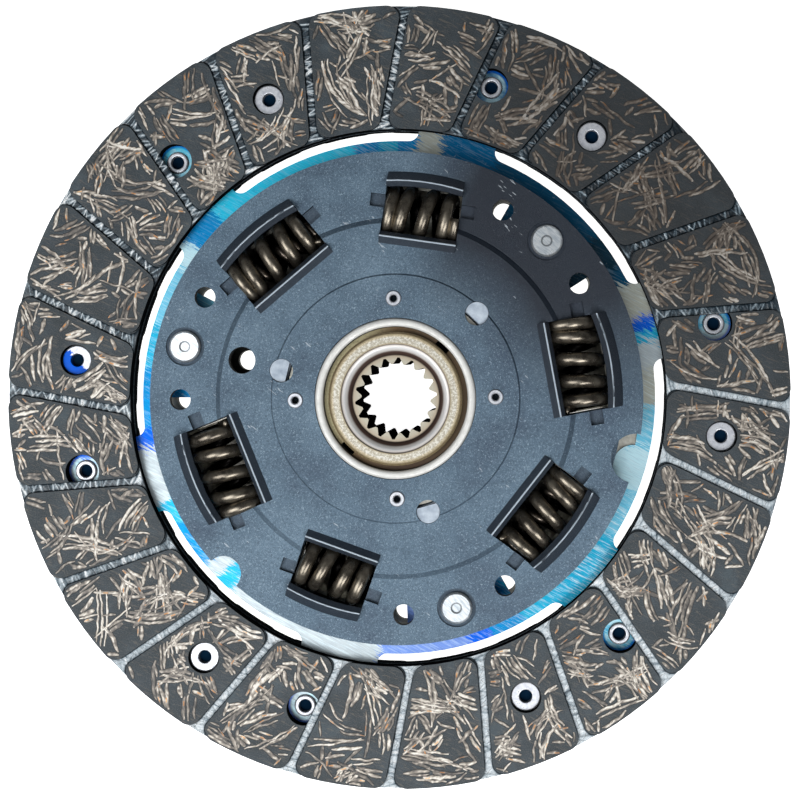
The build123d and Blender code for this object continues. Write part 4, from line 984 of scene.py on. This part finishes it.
# ---- groove skins ----------------------------------------------------------------------------------------
def groove_skin(rng, index, store):
    """A crinkled strip on one groove's floor, painted pale by dial as a reflection of the light: painted
    glints across it where it is dark, else dark cracks, and painted shade along its sides.
    """
    inner = math.sqrt(FACING_INNER_R**2 - GROOVE_OFFSET**2)
    outer = math.sqrt(FACING_OUTER_R**2 - GROOVE_OFFSET**2)
    along = np.linspace(inner, outer, SKIN_ROWS)
    from_end = np.minimum(along - inner, outer - along)
    inside = np.clip(PAD_CORNER - from_end, 0, PAD_CORNER)
    half = GROOVE_WIDTH / 2 + PAD_CORNER - np.sqrt(PAD_CORNER**2 - inside**2)
    across = np.linspace(-1, 1, SKIN_LINES)
    x = -GROOVE_OFFSET + half[:, None] * across[None, :]
    share = ((along - inner) / (outer - inner))[:, None]
    near_end = np.sqrt((FACING_INNER_R + SKIN_FROM_RIM) ** 2 - x**2)
    far_end = np.sqrt((FACING_OUTER_R - SKIN_FROM_RIM) ** 2 - x**2)
    y = near_end + (far_end - near_end) * share
    dial = (GROOVE_DIAL + index * 360 / GROOVE_COUNT - GROOVE_LAG) % 360
    # Paleness by dial is a painted reflection, and painted shade dulls the glints at the upper right.
    pale = float(np.interp(dial, SKIN_DIALS, SKIN_REFLECTION))
    dull = DULL_SHARE if DULL_FROM < dial < DULL_TO else 1.0
    height = np.zeros_like(x)
    tint = np.full_like(x, 0.12 + 0.84 * pale)
    ridge_at = inner
    while ridge_at < outer + GROOVE_OFFSET / 10:
        slant = math.tan(rng.uniform(-RIDGE_SLANT, RIDGE_SLANT))
        wide = rng.uniform(*RIDGE_WIDE_MM) * MM
        tall = rng.uniform(*RIDGE_TALL_MM) * MM
        ridge = np.exp(-(((y - ridge_at) - (x + GROOVE_OFFSET) * slant) / wide) ** 2)
        height += tall * ridge
        # Painted glints brighten ridges on dark skins, and pale skins get darker lines.
        if rng.uniform() < RIDGES_TINTED:
            glint = (1 - pale) * rng.uniform(0.2, 1.1) * dull
            darker = pale * rng.uniform(0.0, 0.5)
            tint += ridge * (glint - darker)
        ridge_at += rng.uniform(*RIDGE_APART_MM) * MM
    height += rng.normal(0, SKIN_GRAIN, x.shape)
    tint += rng.normal(0, 0.05, x.shape)
    edge = 1 - np.abs(across)[None, :] ** 8
    z = PAD_TOP_Z - GROOVE_DEPTH + SKIN_RISE * edge + height * edge
    angle = math.radians(GROOVE_DIAL + index * 360 / GROOVE_COUNT)
    px = x * math.cos(angle) + y * math.sin(angle)
    py = -x * math.sin(angle) + y * math.cos(angle)
    first = len(store["vertices"])
    store["vertices"].extend(np.stack([px, py, z], axis=2).reshape(-1, 3).tolist())
    # Tints fall to nothing at the sides, painting shade where the skin meets the groove walls.
    store["tints"].extend(np.clip(tint * edge, 0, 1).reshape(-1).tolist())
    for row in range(SKIN_ROWS - 1):
        for line in range(SKIN_LINES - 1):
            corner = first + row * SKIN_LINES + line
            beyond = corner + SKIN_LINES
            store["faces"].append((corner, corner + 1, beyond + 1, beyond))


def build_groove_skins():
    """The skins of all grooves of the front facing, and their twin behind."""
    rng = np.random.default_rng(SEED + 1)
    store = {"vertices": [], "faces": [], "tints": []}
    for index in range(GROOVE_COUNT):
        groove_skin(rng, index, store)
    front = add_piece("front_groove_resin", store["vertices"], store["faces"], "disc_body",
                      [resin], store["tints"])
    add_rear_twin(front, "rear_groove_resin", "disc_body")


# ---- springs ---------------------------------------------------------------------------------------------
def spring_place(node):
    """Where a spring's CAD solid lies: middle, own axis, the disc's radial line, length and radius."""
    points = points_of(node)
    middle = (points.min(axis=0) + points.max(axis=0)) / 2
    radial = np.array((middle[0], middle[1], 0)) / math.hypot(middle[0], middle[1])
    tangent = np.array((radial[1], -radial[0], 0))
    length = np.ptp(points @ tangent)
    return middle, tangent, radial, length, np.ptp(points[:, 2]) / 2


def add_spring(node, wire, pitch, open_turns, body, material, left_hand=False, phase=0.0):
    """A closely modelled coil with closed, ground ends."""
    middle, tangent, radial, length, outer_r = spring_place(node)
    mean_r = outer_r - wire / 2
    end_pitch = (length / 2 - GROUND_SHARE * wire - pitch * open_turns / 2) / CLOSED_TURNS
    last_turn = open_turns / 2 + CLOSED_TURNS
    count = int(COIL_STEPS * (open_turns + 2 * CLOSED_TURNS))
    turns = np.linspace(-last_turn, last_turn, count)
    past = np.clip(np.abs(turns) - open_turns / 2, 0, None)
    axial = np.sign(turns) * (np.minimum(np.abs(turns), open_turns / 2) * pitch + past * end_pitch)
    angle = math.tau * (turns - open_turns / 2 - phase) * (-1 if left_hand else 1)
    up = np.array((0, 0, 1.0))
    outward = np.cos(angle)[:, None] * up + np.sin(angle)[:, None] * radial
    centre = middle + axial[:, None] * tangent + mean_r * outward
    way = np.gradient(centre, axis=0)
    way /= np.linalg.norm(way, axis=1)[:, None]
    side = np.cross(way, outward)
    ring = np.linspace(0, math.tau, WIRE_SIDES, endpoint=False)
    tube = centre[:, None, :] + wire / 2 * (
        np.cos(ring)[None, :, None] * outward[:, None, :] + np.sin(ring)[None, :, None] * side[:, None, :]
    )
    reach = (tube - middle) @ tangent
    excess = reach - np.clip(reach, -length / 2, length / 2)
    tube -= excess[:, :, None] * tangent
    faces = []
    for here in range(0, (count - 1) * WIRE_SIDES, WIRE_SIDES):
        beyond = here + WIRE_SIDES
        for i in range(WIRE_SIDES):
            j = (i + 1) % WIRE_SIDES
            faces.append((here + i, here + j, beyond + j, beyond + i))
    faces.append(tuple(range(WIRE_SIDES - 1, -1, -1)))
    faces.append(tuple((count - 1) * WIRE_SIDES + j for j in range(WIRE_SIDES)))
    piece = add_piece(node + "_coil", tube.reshape(-1, 3), faces, body, [material])
    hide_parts(node)
    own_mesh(piece)


def build_springs():
    """The six main coils, the two inner ones and the four light ones."""
    for station, phase in enumerate(COIL_PHASES, start=1):
        node = f"damper_spring_{station}"
        is_long = spring_place(node)[3] > LONG_SPRING
        open_turns = LONG_TURNS if is_long else SHORT_TURNS
        add_spring(node, MAIN_WIRE, MAIN_PITCH, open_turns, "main_springs",
                   spring_steel, phase=phase)
    for order in (1, 2):
        add_spring(f"inner_spring_{order}", INNER_WIRE, INNER_PITCH, THIN_TURNS, "main_springs",
                   inner_steel, left_hand=True)
    for order in range(1, 5):
        add_spring(f"predamper_spring_{order}", LIGHT_WIRE, LIGHT_PITCH, THIN_TURNS, "light_springs",
                   inner_steel)


build_yarn()
build_groove_skins()
build_springs()


# ---- floor, light and camera -----------------------------------------------------------------------------
def build_floor():
    """A wide pale floor that glows, as in a studio lit from below."""
    mesh = bpy.data.meshes.new("floor")
    corners = [(x * FLOOR_HALF, y * FLOOR_HALF, 0) for x, y in ((-1, -1), (1, -1), (1, 1), (-1, 1))]
    mesh.from_pydata(corners, [], [(0, 1, 2, 3)])
    floor = bpy.data.objects.new("floor", mesh)
    bpy.context.scene.collection.objects.link(floor)
    floor.location.z = -FLOOR_DROP
    f = Finish("pale_floor", roughness=0.9)
    f.colour(f.ramp(f.noise(0.01), [(0.3, srgb(244, 245, 246)), (0.7, srgb(250, 250, 250))])[0])
    f.shader.inputs["Emission Color"].default_value = (1, 1, 1, 1)
    f.shader.inputs["Emission Strength"].default_value = 1.0
    mesh.materials.append(f.material)


def build_light(name, place, size, power):
    """A soft rectangular light that looks at the disc."""
    data = bpy.data.lights.new(name, "AREA")
    data.shape = "RECTANGLE"
    data.size, data.size_y = size
    data.energy = power
    lamp = bpy.data.objects.new(name, data)
    bpy.context.scene.collection.objects.link(lamp)
    lamp.location = place
    lamp.rotation_euler = (Vector((0, 0, PAD_TOP_Z)) - lamp.location).to_track_quat("-Z", "Y").to_euler()


def build_world():
    """A studio that is bright overhead and towards -X -Y, and dark towards +X +Y and near the horizon."""
    world = bpy.data.worlds.new("studio")
    bpy.context.scene.world = world
    world.use_nodes = True
    tree = world.node_tree

    def made(kind, *values, **settings):
        """A new world node with its inputs and settings."""
        node = tree.nodes.new(kind)
        for name, value in settings.items():
            setattr(node, name, value)
        for socket, value in zip(node.inputs, values):
            if isinstance(value, bpy.types.NodeSocket):
                tree.links.new(value, socket)
            else:
                socket.default_value = value
        return node.outputs

    x, y, z = made("ShaderNodeSeparateXYZ", made("ShaderNodeTexCoord")["Generated"])
    lean = made("ShaderNodeMath", x, y, operation="ADD")[0]
    overhead = made("ShaderNodeMapRange", z, *WORLD_RISE, interpolation_type="SMOOTHSTEP")[0]
    side = made("ShaderNodeMapRange", lean, *WORLD_SIDE, interpolation_type="SMOOTHSTEP")[0]
    glow = made("ShaderNodeMath", overhead, side, operation="MULTIPLY")[0]
    tree.links.new(made("ShaderNodeMath", glow, WORLD_BASE, operation="ADD")[0],
                   tree.nodes["Background"].inputs["Strength"])
    tree.nodes["Background"].inputs["Color"].default_value = (0.94, 0.97, 1.0, 1)


def build_camera():
    """A camera above the disc and slightly beside it, with the disc's +Y up in the picture."""
    data = bpy.data.cameras.new("camera")
    data.lens = CAMERA_LENS_MM
    data.sensor_width = SENSOR_MM
    data.shift_x, data.shift_y = CAMERA_SHIFT
    camera = bpy.data.objects.new("camera", data)
    bpy.context.scene.collection.objects.link(camera)
    offset = math.hypot(*CAMERA_OFFSET)
    lean = math.atan2(offset, CAMERA_ABOVE_PADS) - CAMERA_TILT
    share = CAMERA_ABOVE_PADS * math.tan(lean) / offset
    camera.location = (*CAMERA_OFFSET, PAD_TOP_Z + CAMERA_ABOVE_PADS)
    aim = Vector((CAMERA_OFFSET[0] * share, CAMERA_OFFSET[1] * share, PAD_TOP_Z))
    back = (camera.location - aim).normalized()
    right = Vector((0, 1, 0)).cross(back).normalized()
    camera.rotation_euler = Matrix((right, back.cross(right), back)).transposed().to_euler()
    bpy.context.scene.camera = camera


build_floor()
build_world()
build_light("key", (-0.24, -0.14, 0.42), (0.30, 0.30), LIGHT_POWER)
build_light("side", (0.16, -0.30, 0.40), (0.30, 0.20), LIGHT_POWER)
build_camera()
bpy.context.scene.view_settings.view_transform = "Standard"
